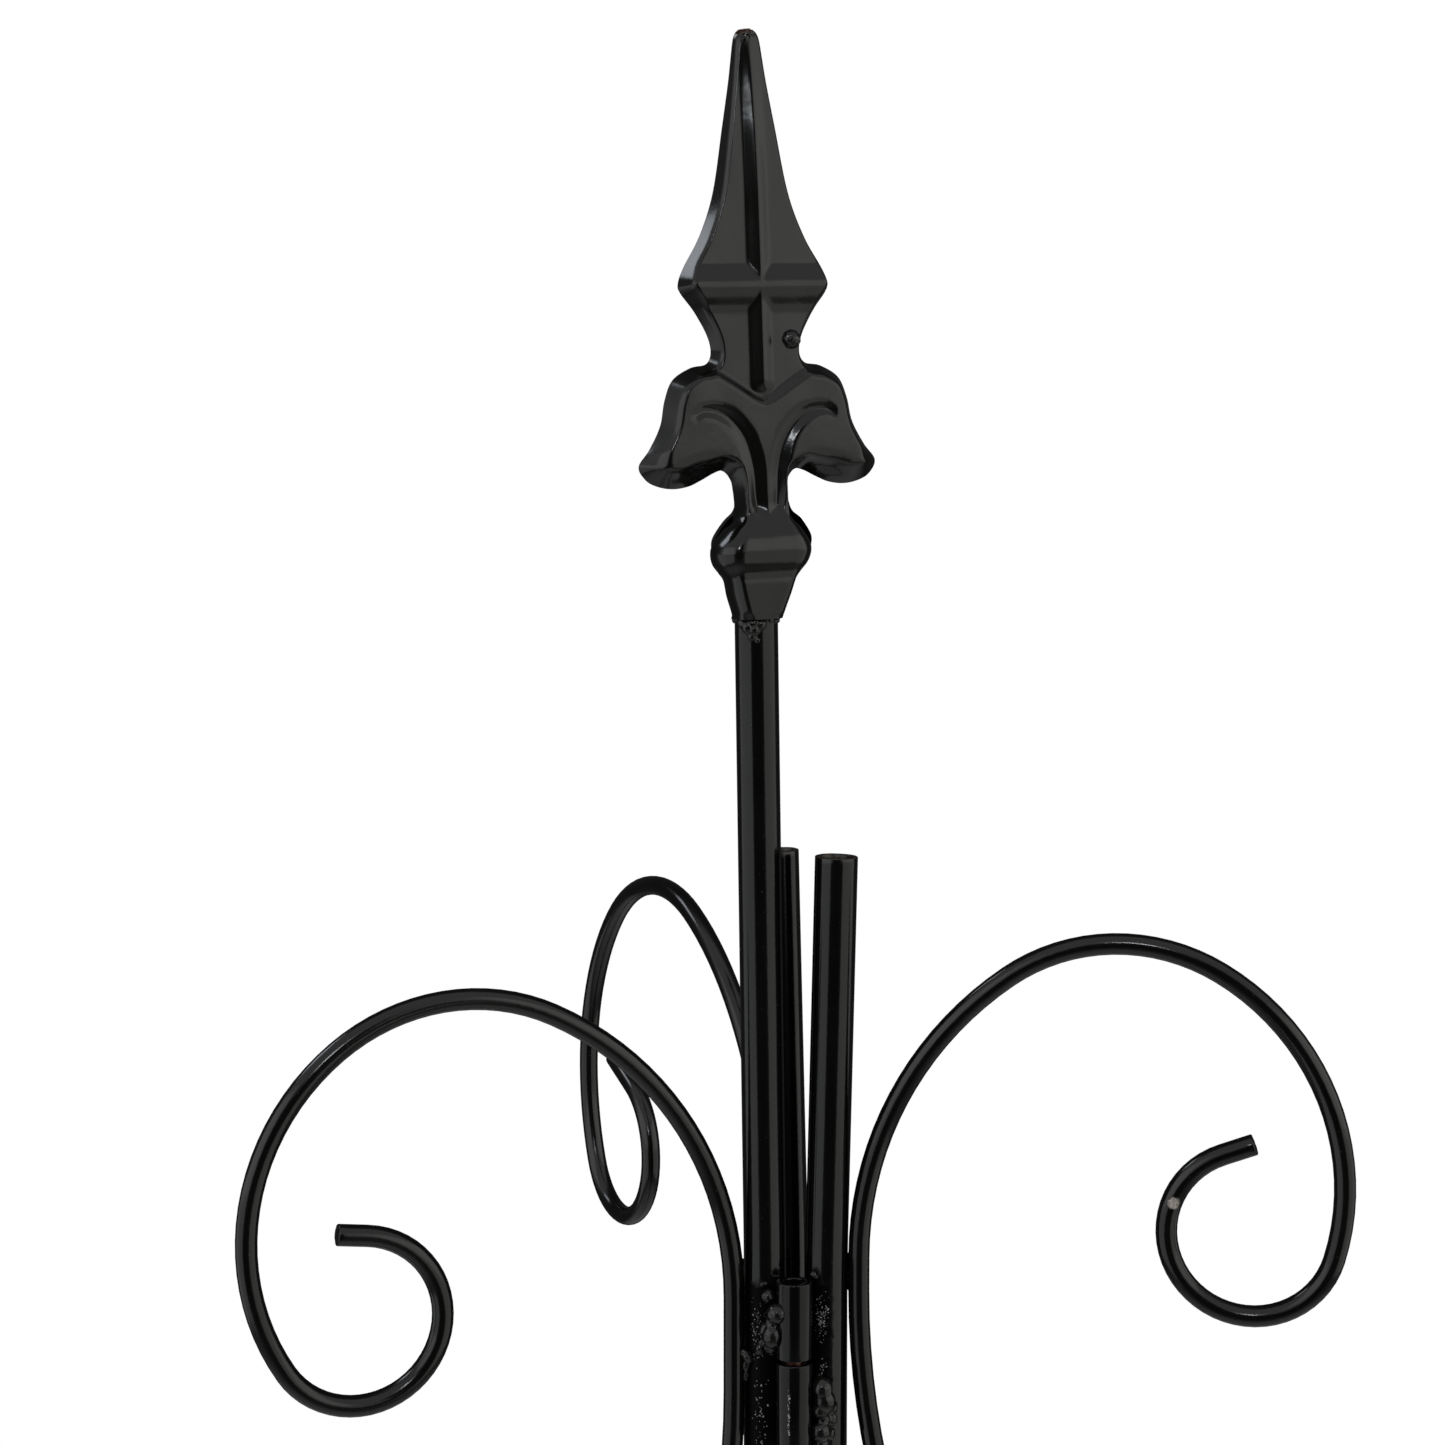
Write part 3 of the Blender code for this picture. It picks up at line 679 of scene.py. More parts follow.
def scroll_up(leg):
    """The bar's route from its neck weld up into the scroll, short of the straight tip."""
    route = Route(NECK_X, leg.neck_top, 90)
    for radius, turn in leg.scroll:
        route.bend(radius, -turn)
    return route


def crown_bar(leg, material):
    """The whole bar of a crown, from the scroll's tip to the joint."""
    scroll = scroll_up(leg).straight(leg.tip, 4)
    points = flat(scroll.points[:0:-1] + bar_down(leg)[0])
    leg_skin(leg, "crown_bar", rod(points, BAR_R, 28, leg.azimuth), material)


def chip_place(leg):
    """A point low on the front of a scroll, just past its top."""
    points = scroll_up(leg).points
    top = max(range(len(points)), key=lambda index: points[index][1])
    x, z = min(points[top:], key=lambda point: abs(point[0] - points[top][0] - CHIP_PAST_TOP))
    return leg.matrix @ Vector((x, -BAR_R * 0.92, z - BAR_R * 0.40))


def saddle_rod(start, end, seed):
    """A rung whose two ends spread into lumpy weld saddles on the tube and the bar."""
    start, end = np.asarray(start, float), np.asarray(end, float)
    length = np.linalg.norm(end - start)
    axis = (end - start) / length
    side_way = np.array((0.0, 1.0, 0.0))
    square = np.cross(axis, side_way)
    stations = [SADDLE_ROOT * share for share in (0.0, 0.15, 0.35, 0.6, 1.0)]
    stops = stations + list(np.linspace(SADDLE_ROOT * 2, length - SADDLE_ROOT * 2, 9))
    stops += [length - station for station in stations[::-1]]
    rings = []
    for stop in stops:
        close = max(0.0, 1 - min(stop, length - stop) / SADDLE_ROOT)
        met, way = (TUBE_R, -1) if stop < length / 2 else (BAR_R, 1)
        ring = []
        for a in turns_of(24):
            x, z = math.cos(a), math.sin(a)
            lump = 1 + 0.35 * noise.noise(Vector((2 * x, 2 * z, seed + stop * 900)))
            r = ROD_R + SADDLE_FLARE * close ** 1.6 * lump
            y = math.copysign(min(abs(r * x), met * 0.93), r * x)
            sag = (met - math.sqrt(met ** 2 - y ** 2)) * close
            ring.append(start + axis * (stop + way * sag) + side_way * y + square * r * z)
        rings.append(ring)
    return capped(rings)


def crown_rungs(leg):
    """The two rods square to the roof."""
    tube = Route(0.0, -TUBE_DROP, -90).bend(TUBE_SWEEP_R, ROOF_TURN)
    heading = math.radians(tube.heading)
    along = np.array((math.cos(heading), 0.0, math.sin(heading)))
    square = np.array((-along[2], 0.0, along[0]))
    tube_start = flat(tube.points)[-1]
    bar_start = flat([bar_down(leg)[1]])[0]
    spacing = float(np.dot(bar_start - tube_start, square))
    for number, share in enumerate(CROWN_RUNG_SHARES, start=1):
        foot = tube_start + along * TUBE_ROOF * share
        shape = saddle_rod(foot + square * (TUBE_R - GAP), foot + square * (spacing - BAR_R + GAP),
                           number + leg.azimuth)
        leg_skin(leg, f"crown_rung_{number}", shape, BAR_COAT)


def lower_leg(leg):
    """The straight tube and bar below the joint, their rungs and both sleeves."""
    ground, joint = FOOT_T + GAP - HUB.z, JOINT_Z - HUB.z
    tube, bar = (flat(Route(x, joint - GAP / 2, -90).down_to(ground, 12).points)
                 for x in (TUBE_X, BAR_X))
    leg_skin(leg, "leg_tube", pipe(tube, 0.0, leg.azimuth + 1), TUBE_COAT, CUT_RIM)
    leg_skin(leg, "leg_bar", rod(bar, BAR_R, 28, leg.azimuth + 2), BAR_COAT)
    for number, height in enumerate(RUNG_HEIGHTS, start=1):
        z = height - HUB.z
        shape = saddle_rod((TUBE_X + TUBE_R - GAP, 0, z), (BAR_X - BAR_R + GAP, 0, z),
                           number * 3 + leg.azimuth)
        leg_skin(leg, f"rung_{number}", shape, BAR_COAT)
    half = SPIGOT_LENGTH / 2
    spigot = turned(rounded_wall(SPIGOT_R, SPIGOT_BORE_R, -half, half), (TUBE_X, 0, joint))
    leg_skin(leg, "tube_spigot", spigot, ZINC_STEEL, slot="zinc_steel")
    crimped_sleeve(leg, joint)


def crimped_sleeve(leg, joint):
    """Short outer sleeve on the bar, with a crimp ring near each end."""
    half = SLEEVE_LENGTH / 2
    lip = 0.0005
    outer = [(SLEEVE_R - lip, -half), (SLEEVE_R - lip * 0.2, -half + lip * 0.5)]
    for z in np.linspace(-half + lip, half - lip, 41):
        crimp = math.exp(-((abs(z) - half * 0.66) / CRIMP_WIDTH) ** 2)
        outer.append((SLEEVE_R - CRIMP_DEPTH * crimp, z))
    outer += [(SLEEVE_R - lip * 0.2, half - lip * 0.5), (SLEEVE_R - lip, half)]
    profile = outer + [(SLEEVE_BORE_R, half), (SLEEVE_BORE_R, -half)]
    leg_skin(leg, "bar_sleeve", turned(profile, (BAR_X, 0, joint)), TUBE_COAT)


def foot_plate(leg):
    """Flat strap with round ends and softened edges."""
    half = (FOOT_WIDTH - GAP) / 2
    left, right = TUBE_X - FOOT_OVERHANG, BAR_X + FOOT_OVERHANG
    soft = 0.0008
    levels = [(soft, 0.0), (soft * 0.3, soft * 0.3), (0.0, soft)]
    levels += [(inset, FOOT_T - z) for inset, z in levels[::-1]]
    rings = [[(centre + (half - inset) * math.cos(turn * math.pi / 16),
               (half - inset) * math.sin(turn * math.pi / 16), z - HUB.z)
              for centre, start in ((right, -8), (left, 8)) for turn in range(start, start + 17)]
             for inset, z in levels]
    leg_skin(leg, "foot_plate", capped(rings), TUBE_COAT)


def panel_scroll(leg):
    """An S of rod between the upper rungs, the same turned half about."""
    half = Route(0.0, 0.0, 52).straight(0.045, 4).bend(0.150, 38)
    half.bend(0.060, 150).bend(0.030, 150).bend(0.018, 60)
    room = (PANEL_WIDTH - TUBE_R - BAR_R) / 2 - ROD_R - GAP
    scale = room / max(abs(x) for x, _ in half.points)
    centre_x = (TUBE_X + TUBE_R + BAR_X - BAR_R) / 2
    centre_z = (RUNG_HEIGHTS[0] + RUNG_HEIGHTS[1]) / 2 - HUB.z
    upper = [(centre_x + x * scale, centre_z + z * scale) for x, z in half.points]
    lower = [(centre_x - x * scale, centre_z - z * scale) for x, z in half.points[1:]]
    shape = rod(flat(lower[::-1] + upper), ROD_R, 24, leg.azimuth + 4)
    leg_skin(leg, "panel_scroll", shape, BAR_COAT)


# ---------------------------------------------------------------- hinges and welds
def hinge(name, axis, moving_body):
    """Two knuckles and a rusty pin; the top knuckle and the pin stay with the left leg."""
    centre = (HUB.x + axis.x, HUB.y + axis.y, HUB.z)
    middle = BARREL_TOP - UPPER_LENGTH
    bottom = middle - BARREL_SPACE - LOWER_LENGTH
    for part, low, high, body in (("top", middle, BARREL_TOP, "left_leg"),
                                  ("bottom", bottom, middle - BARREL_SPACE, moving_body)):
        verts, faces = turned(rounded_wall(BARREL_R, BARREL_BORE_R, low, high, 0.0004), centre)
        piece(f"{name}_knuckle_{part}_skin", verts, faces, [BARREL_COAT], body,
              [f"{name}_knuckle_{part}"])
    head, end = bottom - GAP, BARREL_TOP - PIN_RECESS
    profile = [(PIN_HEAD_R * wide, head - PIN_HEAD_T * deep)
               for wide, deep in ((0.35, 1.0), (0.7, 0.92), (0.92, 0.65), (1.0, 0.3), (0.97, 0.0))]
    profile += [(PIN_R, head), (PIN_R, end - GAP), (PIN_R * 0.85, end), (PIN_R * 0.3, end)]
    verts, faces = turned(profile, centre, closed=False)
    piece(f"{name}_pin_skin", verts, faces, [PIN_STEEL], "left_leg", [f"{name}_pin"])


def blob(name, balls, body, nodes=(), voxel=0.00028, smooth=6, slot="weld_coat", rough=0.00018):
    """Several overlapping drops run together into one closed lump."""
    verts, faces = merged(ball((x, y, z), (r, 0, 0), (0, r, 0), (0, 0, r * stretch), 14, 28)
                          for x, y, z, r, stretch in balls)
    made = piece(name, verts, faces, [WELD_COAT], body, nodes, sharp=180.0)
    remesh = made.modifiers.new("run_together", "REMESH")
    remesh.mode = "VOXEL"
    remesh.voxel_size = voxel
    remesh.use_smooth_shade = True
    relax = made.modifiers.new("relax", "SMOOTH")
    relax.factor = 0.6
    relax.iterations = smooth
    bpy.context.view_layer.update()
    graph = bpy.context.evaluated_depsgraph_get()
    shaped = bpy.data.meshes.new_from_object(made.evaluated_get(graph))
    made.modifiers.clear()
    for vertex in shaped.vertices:
        lift = noise.noise(vertex.co * 700) + 0.5 * noise.noise(vertex.co * 1600)
        vertex.co += vertex.normal * rough * lift
    shaped.update()
    shaped.shade_smooth()
    made.data = shaped
    made.data.name = name


def on_round(centre, radius, azimuth, z):
    """A point on an upright round at an azimuth in degrees from the viewer's side."""
    angle = math.radians(azimuth - 90)
    return (centre.x + radius * math.cos(angle), centre.y + radius * math.sin(angle), HUB.z + z)


def tube_centre(leg, z):
    """World middle of a leg's tube at a height from the hub, on its upright or stub."""
    rise = max(z - STUB_BEND_Z, 0.0)
    return Vector((HUB.x + leg.tube.x + leg.lean.x * rise,
                   HUB.y + leg.tube.y + leg.lean.y * rise, HUB.z + z))


def drops(*balls):
    """Balls in millimetres from the front hinge: x, y, z, radius, upright stretch if not 1."""
    return [(FRONT_CENTRE.x + x / 1000, FRONT_CENTRE.y + y / 1000, HUB.z + z / 1000, r / 1000,
             *(stretch or [1.0])) for x, y, z, r, *stretch in balls]


def seam(leg, other, other_r, side, low, high, size, seed):
    """Balls of a short weld run in the valley between a leg's tube and a round."""
    rolled = random.Random(seed)
    place = meeting_point(leg.tube, other, TUBE_R + size * 0.55, other_r + size * 0.55, side)
    count = max(2, round((high - low) / (size * 1.5)))
    balls = []
    for index in range(count):
        share = (index + 0.5) / count
        balls.append((HUB.x + place.x + rolled.uniform(-0.2, 0.2) * size,
                      HUB.y + place.y + rolled.uniform(-0.2, 0.2) * size,
                      HUB.z + low + (high - low) * share, size * rolled.uniform(0.8, 1.15),
                      rolled.uniform(0.9, 1.25)))
    return balls


def spatter(name, centre, radius, patches, body, seed):
    """Tiny frozen drops on an upright round: (azimuth from, to, z from, to, count)."""
    rolled = random.Random(seed)
    upright = np.array((0.0, 0.0, 1.0))
    shapes = []
    for first, last, low, high, count in patches:
        for _ in range(count):
            azimuth = rolled.triangular(first, last)
            z = rolled.triangular(low, high)
            size = rolled.uniform(*SPATTER_R) * (1.8 if rolled.random() < 0.12 else 1.0)
            angle = math.radians(azimuth - 90)
            out = np.array((math.cos(angle), math.sin(angle), 0.0))
            across = np.cross(upright, out)
            shapes.append(ball(on_round(centre, radius, azimuth, z), across * size,
                               upright * size * 1.15, out * size * 0.8, 5, 8))
    verts, faces = merged(shapes)
    piece(name, verts, faces, [SPATTER_STEEL], body, sharp=180.0)


def weld(name, balls, body, **settings):
    """The bead that takes a weld's place."""
    blob(f"{name}_bead", balls, body, [name], **settings)


def hub_welds():
    """The weld runs and spatter at the hub, drop by drop where the front shows them."""
    weld("front_hinge_left_weld", drops(
        (-9.4, 2.3, -1.3, 1.0), (-8.5, 2.2, -1.0, 0.8), (-7.7, 1.0, -4.4, 2.2),
        (-5.1, -2.1, -8.8, 3.2), (-6.4, -0.6, -12.0, 2.3, 1.1), (-6.5, -1.3, -15.8, 3.0, 1.3),
        (-8.2, 0.4, -14.6, 2.3, 1.2), (-7.0, -0.2, -19.2, 2.1, 1.1), (-6.4, 0.2, -20.8, 1.4, 1.1),
        (-10.3, 2.2, -20.6, 1.3), (-9.4, 1.9, -18.6, 1.2), (-10.9, 2.5, -22.0, 0.9),
        (-9.6, 2.0, -21.9, 0.8), (-7.2, 0.2, -17.2, 1.7)),
        "left_leg", smooth=10, rough=0.00010)
    weld("front_hinge_right_weld", drops(
        (7.4, 1.9, -28.8, 1.0), (8.2, 0.2, -32.2, 3.3, 1.1), (8.9, 0.4, -35.8, 3.5, 1.1),
        (7.7, 0.2, -38.6, 2.7), (8.6, 1.0, -41.6, 2.3), (7.8, 0.1, -45.0, 3.3),
        (11.2, 2.0, -38.2, 1.9, 1.4), (11.3, 2.2, -42.0, 1.7, 1.3), (10.5, 1.9, -46.2, 1.9, 1.2),
        (8.0, 0.6, -49.4, 2.6, 1.1)),
        "right_leg", smooth=10, rough=0.00010)
    balls = seam(LEFT, BACK_AXIS, BARREL_R, 1, -0.021, -0.003, 0.0025, 3)
    weld("rear_hinge_left_weld", balls, "left_leg", smooth=4)
    balls = seam(REAR, BACK_AXIS, BARREL_R, -1, -0.046, -0.028, 0.0025, 4)
    weld("rear_hinge_rear_weld", balls, "rear_leg", smooth=4)
    weld("left_neck_weld", drops(
        (-13.9, 3.5, -23.4, 1.6), (-14.9, 4.0, -22.4, 1.4), (-12.9, 3.4, -24.4, 1.0),
        (-14.2, 4.3, -26.2, 1.5, 1.5), (-14.3, 4.7, -29.4, 1.2, 1.6)),
        "left_leg", smooth=3)
    for leg, side, low, high, seed in ((RIGHT, 1, -0.005, 0.006, 6), (REAR, -1, -0.021, -0.011, 7)):
        bar = leg.tube + Vector((math.cos(leg.azimuth), math.sin(leg.azimuth))) * NECK_X
        balls = seam(leg, bar, BAR_R, side, low, high, 0.0018, seed)
        weld(f"{leg.name}_neck_weld", balls, leg.body)
    blob("hub_spatter_bead", drops((5.7, 2.6, 1.7, 1.1), (6.5, 2.9, 1.0, 0.8)), "right_leg",
         voxel=0.00016, rough=0.00008)
    left, right, rear = (tube_centre(leg, 0.0) for leg in LEGS)
    spatter("left_tube_spatter", left, TUBE_R,
            ((-46, 6, -0.026, -0.004, 90), (-40, 10, -0.054, -0.026, 60),
             (60, 150, -0.05, 0.0, 60)),
            "left_leg", 11)
    spatter("right_tube_spatter", right, TUBE_R,
            ((-36, 8, -0.021, -0.002, 100), (-26, 4, -0.029, -0.023, 20),
             (90, 200, -0.05, -0.02, 50)),
            "right_leg", 12)
    spatter("rear_tube_spatter", rear, TUBE_R, ((90, 250, -0.05, -0.01, 90),), "rear_leg", 13)
    spatter("front_knuckle_spatter", FRONT_CENTRE, BARREL_R,
            ((-22, -14, -0.049, -0.027, 44),), "right_leg", 14)


# ---------------------------------------------------------------- finial, in millimetres
OFFSET = 2.1
NECK_Z = 31.0
SHEET = 0.9
HALF_GAP = GAP * 500
RIVET_PLACE = (9.3, 80.3)

# Half outline from the cup to the tip: reach, height, and, where it isn't the same height,
# the height on the axis from which the pressed surface fans out to the outline.
OUTLINE = (
    (7.3, 0), (7.9, 2.5), (9.4, 7), (10.5, 11.2), (12, 13.3), (14.2, 16), (15.1, 19),
    (14.6, 21.8), (11.6, 26.1), (8.8, 28.7), (8, 32), (8.1, 36), (8.9, 40.4, 40),
    (11.9, 43.2, 44), (17.5, 40.7, 52), (21.4, 39, 53), (26.1, 38.3, 53.6), (30.7, 39, 54.2),
    (34.5, 41, 54.9), (36.5, 45, 56), (33.1, 49.8, 57.3), (29.6, 56.5, 59.4), (28.1, 63.5, 62.8),
    (25.5, 69.4, 66.2), (20, 72.8, 69.6), (15.2, 73.8, 72.8), (13.6, 77, 76.8), (14.6, 82),
    (18.3, 88.8), (22.2, 94), (22.9, 96.7), (21.1, 101.3), (15.8, 110.5), (11.4, 122.7),
    (8, 141.1), (5.8, 153.4), (4.9, 159.5), (4.1, 165), (3.4, 167.3, 167.2), (2.3, 168.5, 168.3),
    (1.4, 168.75, 168.6),
)
ROWS_PER_SPAN = 7
COLUMNS = 60
FLEUR_EDGE = ((0, 2.6, 5, 9.5, 14.5, 20, 40), (62.8, 63.8, 65.3, 68.3, 71.3, 74.5, 86))
GROOVE = ((2.6, 28.6), (3.3, 36), (3.7, 43), (5.2, 49.7), (7.5, 54.4), (11, 58.2), (15, 60.1),
          (18.6, 60.3), (20.8, 59.3))
BLADE_LEVEL = ((60, 100, 122, 141, 155, 165, 169), (5.2, 5.2, 4.9, 4.0, 3.0, 2.3, 2.0))
ROUND_LEVEL = ((0, 2, 8, 10.6, 12.6, 14.4, 16.5, 20, 24, 27, 30, 34),
               (7.5, 8.3, 8.9, 9.2, 8.8, 9.5, 10.5, 11.0, 10.3, 9.0, 8.1, 7.8))
ROUND_FLAT = ((0, 2, 11, 13, 15, 19, 25, 30), (2.5, 3.9, 6.9, 7.0, 7.2, 7.9, 6.5, 5.0))


def curve_through(points, pieces):
    """Catmull-Rom line through points, with a number of steps in each span."""
    points = np.asarray(points, float)
    padded = np.vstack([2 * points[0] - points[1], points, 2 * points[-1] - points[-2]])
    line = []
    for span in range(len(points) - 1):
        a, b, c, d = padded[span:span + 4]
        for step in range(pieces):
            t = step / pieces
            line.append(0.5 * (2 * b + (c - a) * t + (2 * a - 5 * b + 4 * c - d) * t * t
                               + (3 * b - a - 3 * c + d) * t ** 3))
    line.append(points[-1])
    return np.array(line)


def softened(table, spread):
    """A table of (places, values) with its corners rounded off over a distance."""
    step = 0.25
    places = np.arange(table[0][0] - 5 * spread, table[0][-1] + 5 * spread, step)
    weights = np.exp(-(np.arange(-3 * spread, 3 * spread + step, step) / spread) ** 2 / 2)
    return places, np.convolve(np.interp(places, *table), weights / weights.sum(), "same")


def distance_to(line, u, v):
    """Distance from points to a polyline, and how far along it (0 to 1) the nearest is."""
    nearest = np.full(u.shape, 1e9)
    along = np.zeros(u.shape)
    spans = len(line) - 1
    for index in range(spans):
        start, step = line[index], line[index + 1] - line[index]
        t = np.clip(((u - start[0]) * step[0] + (v - start[1]) * step[1]) / (step @ step), 0, 1)
        away = np.hypot(u - start[0] - t * step[0], v - start[1] - t * step[1])
        closer = away < nearest
        nearest = np.where(closer, away, nearest)
        along = np.where(closer, (index + t) / spans, along)
    return nearest, along


def eased(value, low, high):
    t = np.clip((value - low) / (high - low), 0, 1)
    return t * t * (3 - 2 * t)


def smaller(a, b, soft):
    """Minimum with a rounded changeover."""
    share = np.clip(0.5 + 0.5 * (b - a) / soft, 0, 1)
    return b + (a - b) * share - soft * share * (1 - share)


def larger(a, b, soft):
    return -smaller(-a, -b, soft)


ROUND_LEVEL = softened(ROUND_LEVEL, 1.1)
FINIAL_LINE = curve_through([(*point, point[1])[:3] for point in OUTLINE], ROWS_PER_SPAN)
CUP_LINE = FINIAL_LINE[:16 * ROWS_PER_SPAN]      # up to where the outline turns out to the leaf
GROOVE_LINE = curve_through(GROOVE, 6)
GROOVE_RISE = GROOVE_LINE[:5 * 6 + 1]            # its steep part, beside the middle


def relief(u, v):
    """Height of the pressed face over the seam."""
    u = np.abs(u)
    edge, _ = distance_to(FINIAL_LINE[:, :2], u, v)
    rib = 2.1 * larger(1 - np.sqrt((u / 3.7) ** 2 + 0.014), np.zeros_like(u), 0.10)
    rib *= eased(v, 64.0, 68.5) * np.interp(v, (130, 150, 166), (1.0, 0.75, 0.35))
    bar = 2.2 * np.clip(1 - ((v - 95.6) / 7.6) ** 2, 0, 1) ** 2.0
    blade = np.interp(v, *BLADE_LEVEL) + larger(rib, bar, 0.5)
    fleur = eased((np.interp(u, *FLEUR_EDGE) - v) * 0.86, -1.3, 1.3)
    level = blade * (1 - fleur) + 7.3 * fleur
    away, along = distance_to(GROOVE_LINE, u, v)
    inner = u < np.interp(v, *GROOVE_RISE.T[::-1])
    width = np.interp(along, (0, 0.3, 0.62, 1.0), (2.4, 3.0, 2.6, 1.3))
    width = np.where(inner | (v > 44), width, width * np.interp(v, (28, 44), (0.65, 1.0)))
    depth = np.interp(along, (0, 0.3, 0.62, 1.0), (1.3, 1.6, 1.4, 0.8))
    groove = depth * larger(1.12 - np.sqrt((away / width) ** 2 + 0.018), np.zeros_like(u), 0.12)
    level = level - groove * fleur * eased(v, 26.8, 29.0)
    under = eased(u, 10.0, 14.0) * eased(-v, -50.0, -44.0)
    slope = np.interp(v, (34, 44, 70, 78), (4.5, 2.1, 2.1, 2.7)) * (1 - under) + 1.35 * under
    tilt = math.radians(20)
    along_x = (u - 21.5) * math.cos(tilt) - (v - 43.6) * math.sin(tilt)
    along_z = (u - 21.5) * math.sin(tilt) + (v - 43.6) * math.cos(tilt)
    scoop = 1.3 * np.exp(-1.6 * ((along_x / 6.2) ** 2 + (along_z / 2.6) ** 2))
    pressed = smaller(level, slope * edge, 1.6) - scoop * eased(edge, 0.0, 3.0)
    reach = np.interp(v, *CUP_LINE.T[1::-1])
    flat_part = np.interp(v, *ROUND_FLAT)
    past = np.clip((u - flat_part) / np.maximum(reach - flat_part, 1e-6), 0, 1)
    rounded = np.interp(v, *ROUND_LEVEL) * np.sqrt(np.clip(1 - past ** 2.3, 0, 1))
    blend = eased(v, 28.0, 33.5)
    return np.maximum(rounded * (1 - blend) + pressed * blend, 0.0)


def shell_surface(inset):
    """Grid of one face of a shell: positions across, up and out from the seam."""
    line = FINIAL_LINE.copy()
    tangent = np.gradient(line[:, :2], axis=0)
    tangent /= np.linalg.norm(tangent, axis=1)[:, None]
    line[:, 0] -= inset * tangent[:, 1]
    line[:, 1] += inset * tangent[:, 0]
    line[:, 0] = np.maximum(line[:, 0], 0.4)
    side = np.linspace(-1, 1, 2 * COLUMNS + 1)
    side = np.sign(side) * (1 - (1 - np.abs(side)) ** 1.25)
    u = side[None, :] * line[:, :1]
    v = line[:, 2:] + (line[:, 1:2] - line[:, 2:]) * np.abs(side)[None, :]
    high = relief(u, v)
    if inset > 0:
        step = 0.1
        slope_u = (relief(u + step, v) - relief(u - step, v)) / (2 * step)
        slope_v = (relief(u, v + step) - relief(u, v - step)) / (2 * step)
        high = high - inset * np.sqrt(1 + np.clip(slope_u ** 2 + slope_v ** 2, 0, 9))
    return u, v, np.maximum(high, 0.0)


def finial_shell(name, surfaces, facing, matrix, node, shift, seed):
    """One pressed half of the finial: outer face, inner face and a turned edge."""
    grids = []
    for u, v, high in surfaces:
        shifted = 1 - eased(v, 26.0, 44.0)
        slack = np.array([noise.noise(Vector((a / 9, b / 14, seed))) * 0.10
                          + noise.noise(Vector((a / 1.1, b / 1.3, seed + 7))) * 0.35
                          * float(eased(b, 163.5, 167.0))
                          for a, b in zip(u.ravel(), v.ravel())]).reshape(u.shape)
        out = (HALF_GAP + np.maximum(high + slack * np.clip(high / 2, 0, 1), 0)) * facing
        across = u + OFFSET * eased(v, 0.0, NECK_Z) + shift[0] * shifted
        grids.append(np.stack([across, out, v + shift[1] * shifted], -1))
    verts = np.concatenate([grid.reshape(-1, 3) for grid in grids]) / 1000
    index = np.arange(len(verts) // 2).reshape(grids[0].shape[:2])
    quads = np.stack([index[:-1, :-1], index[:-1, 1:], index[1:, 1:], index[1:, :-1]], -1)
    quads = quads.reshape(-1, 4)
    edge = np.concatenate([index[0], index[1:, -1], index[-1, -2::-1], index[-2:0:-1, 0]])
    after = np.roll(edge, -1)
    band = np.stack([edge, edge + index.size, after + index.size, after], -1)
    faces = np.concatenate([quads, quads[:, ::-1] + index.size, band])[:, ::-facing].tolist()
    piece(name, verts, faces, [FINIAL_COAT], "left_leg", [node], matrix, sharp=65.0)


def finial():
    """Both shells, the rivet and the ring of weld under the cup."""
    seat = tube_centre(LEFT, FINIAL_Z)
    matrix = (Matrix.Translation(seat) @ Matrix.Rotation(LEFT.azimuth - math.pi, 4, "Z")
              @ Matrix.Rotation(-FINIAL_LEAN, 4, "Y"))
    surfaces = [shell_surface(inset) for inset in (0.0, SHEET)]
    finial_shell("finial_front_face", surfaces, -1, matrix, "finial_front_shell", (0.0, 0.0), 2.0)
    finial_shell("finial_back_face", surfaces, 1, matrix, "finial_back_shell", (1.5, 2.4), 9.0)
    u, v = RIVET_PLACE
    high = float(relief(np.array([u]), np.array([v]))[0]) + HALF_GAP
    balls = [(0, -high + 0.6, 0, 2.9), (0.9, -high - 0.4, -0.8, 1.5), (-0.9, -high - 0.3, 0.6, 1.4),
             (0.6, -high - 0.4, 0.9, 1.2), (0, high - 0.6, 0, 2.5), (0.3, high + 0.2, 0.5, 1.5)]
    balls += [(0, depth, 0, 1.4) for depth in np.linspace(-high, high, 9)]
    balls = [(*(matrix @ (Vector((u + OFFSET + x, y, v + z)) / 1000)), r / 1000, 1.0)
             for x, y, z, r in balls]
    blob("finial_rivet_dome", balls, "left_leg", ["finial_rivet"], voxel=0.00022, smooth=3,
         slot="powder_coat", rough=0.00022)
    rolled = random.Random(21)
    lumps = [(azimuth, 0.2, rolled.uniform(-0.9, 0.1), rolled.uniform(0.9, 1.2),
              rolled.uniform(0.9, 1.3)) for azimuth in range(0, 360, 20)]
    lumps += [(azimuth, 0.3, low, size, 1.1) for azimuth, low, size in (
        (-42, -1.2, 1.6), (-24, -2.4, 2.0), (-6, -3.0, 1.9), (12, -1.6, 1.7), (-14, -5.2, 1.3),
        (2, -6.2, 0.9), (200, -2.0, 1.8), (170, -1.6, 1.6))]
    ring = []
    for azimuth, sunk, low, size, stretch in lumps:
        middle = tube_centre(LEFT, FINIAL_Z + low / 1000)
        x, y, _ = on_round(middle, TUBE_R - sunk / 1000, azimuth, 0.0)
        ring.append((x, y, middle.z, size / 1000, stretch))
    blob("finial_weld_ring", ring, "left_leg", ["finial_weld"], smooth=4)


# ---------------------------------------------------------------- scene
for one in LEGS:
    crown_tube(one)
    crown_rungs(one)
    lower_leg(one)
    foot_plate(one)
    panel_scroll(one)
crown_bar(LEFT, BAR_COAT)
crown_bar(RIGHT, chipped_coat(chip_place(RIGHT)))
crown_bar(REAR, BAR_COAT)
hinge("front_hinge", FRONT_AXIS, "right_leg")
hinge("rear_hinge", BACK_AXIS, "rear_leg")
hub_welds()
finial()

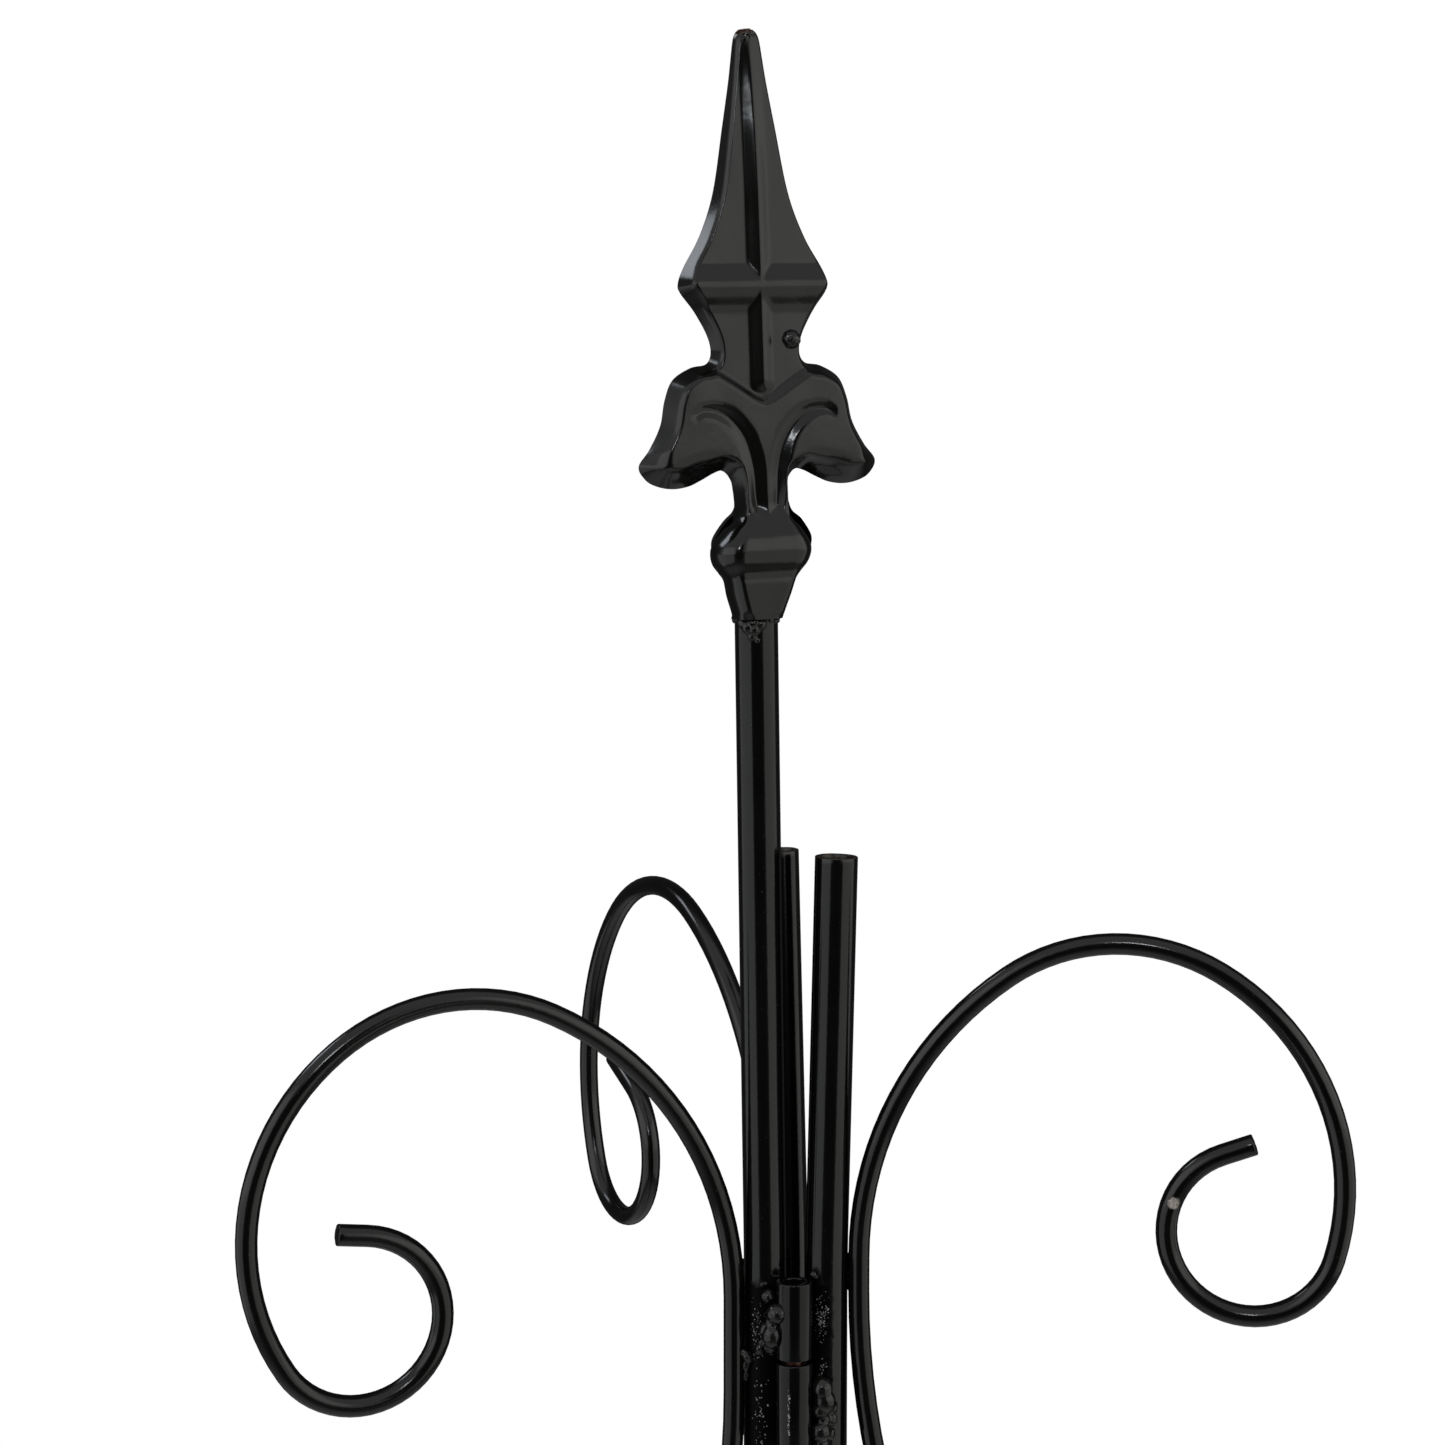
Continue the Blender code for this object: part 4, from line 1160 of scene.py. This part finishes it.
FALLBACK = {"powder_coat": TUBE_COAT, "finial_coat": FINIAL_COAT, "weld_coat": WELD_COAT,
            "pin_steel": PIN_STEEL, "zinc_steel": ZINC_STEEL}
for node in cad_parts.values():
    for material_slot in node.material_slots:
        base = material_slot.material.name.split(".")[0]
        material_slot.material = FALLBACK.get(base, TUBE_COAT)


def surround(scene):
    """White behind the object; to everything else a sky that leaves the front dark."""
    world = bpy.data.worlds.new("studio")
    world.use_nodes = True
    scene.world = world
    background = world.node_tree.nodes["Background"]
    background.inputs["Color"].default_value = (1.0, 1.0, 1.0, 1.0)
    nodes = Nodes(world.node_tree)
    x, y, z = nodes.axes(nodes.add("ShaderNodeTexCoord", "Generated"))
    brink = nodes.range(nodes.math("ABSOLUTE", x), *DARK_FRONT, 0.0)
    above = nodes.range(nodes.math("SUBTRACT", z, brink), -0.03, 0.03, 0.0, SKY_LEVEL)
    sky = nodes.math("MULTIPLY", above, nodes.range(y, 0.0, 0.25, 1.0, 0.0))
    low_front = nodes.range(y, -0.90, -0.80, 0.035, 0.12)
    low_back = nodes.range(y, 0.15, 0.55, 1.0, 0.3)
    level = nodes.math("MAXIMUM", sky, nodes.math("MULTIPLY", low_front, low_back))
    seen = nodes.add("ShaderNodeLightPath", "Is Camera Ray")
    nodes.put(nodes.math("MAXIMUM", level, seen), background.inputs["Strength"])


def soft_box(scene, name, azimuth, elevation, distance, width, height, radiance, colour):
    """A rectangle of even light aimed at the hub, azimuth from the viewer's side."""
    data = bpy.data.lights.new(name, "AREA")
    data.shape = "RECTANGLE"
    data.size, data.size_y = width, height
    data.energy = radiance * math.pi * width * height
    data.color = colour
    lamp = bpy.data.objects.new(name, data)
    scene.collection.objects.link(lamp)
    turn, lift = math.radians(azimuth - 90), math.radians(elevation)
    aim = Vector((math.cos(turn) * math.cos(lift), math.sin(turn) * math.cos(lift), math.sin(lift)))
    lamp.location = HUB + aim * distance
    lamp.rotation_euler = aim.to_track_quat("Z", "Y").to_euler()
    lamp.visible_camera = False


def paper_floor(scene):
    """Round pale floor that fades out towards its edge."""
    steps, radii = 64, (0.02, 0.5, 1.2, 2.0, 3.0)
    turns = [2 * math.pi * step / steps for step in range(steps)]
    verts = [(r * math.cos(turn), r * math.sin(turn), 0.0) for r in radii for turn in turns]
    mesh = bpy.data.meshes.new("floor")
    mesh.from_pydata(verts, [], skin_faces(len(radii), steps) + [tuple(range(steps))[::-1]])
    floor = bpy.data.objects.new("floor", mesh)
    scene.collection.objects.link(floor)
    paper = Coat("floor_paper")
    stops = (0.3, (0.80, 0.80, 0.80)), (0.7, (0.84, 0.84, 0.84))
    paper.feed("Base Color", paper.ramp(paper.noise(3.0, 3.0), stops))
    paper.feed("Roughness", 0.8)
    away = paper.vector("LENGTH", paper.place)
    paper.feed("Alpha", paper.range(away, 1.4, 2.9, 1.0, 0.0))
    mesh.materials.append(paper.material)


def studio():
    """The surround, the lights, the floor and the camera."""
    scene = bpy.context.scene
    scene.view_settings.view_transform = "Standard"
    surround(scene)
    for lamp in LAMPS:
        soft_box(scene, *lamp)
    paper_floor(scene)
    data = bpy.data.cameras.new("camera")
    data.lens = LENS
    data.sensor_width = 36.0
    data.clip_start = 0.02
    data.clip_end = 60.0
    camera = bpy.data.objects.new("camera", data)
    scene.collection.objects.link(camera)
    camera.location = HUB + CAMERA_FROM_HUB
    camera.rotation_euler = (math.radians(90 - CAMERA_PITCH), 0.0, 0.0)
    scene.camera = camera


studio()
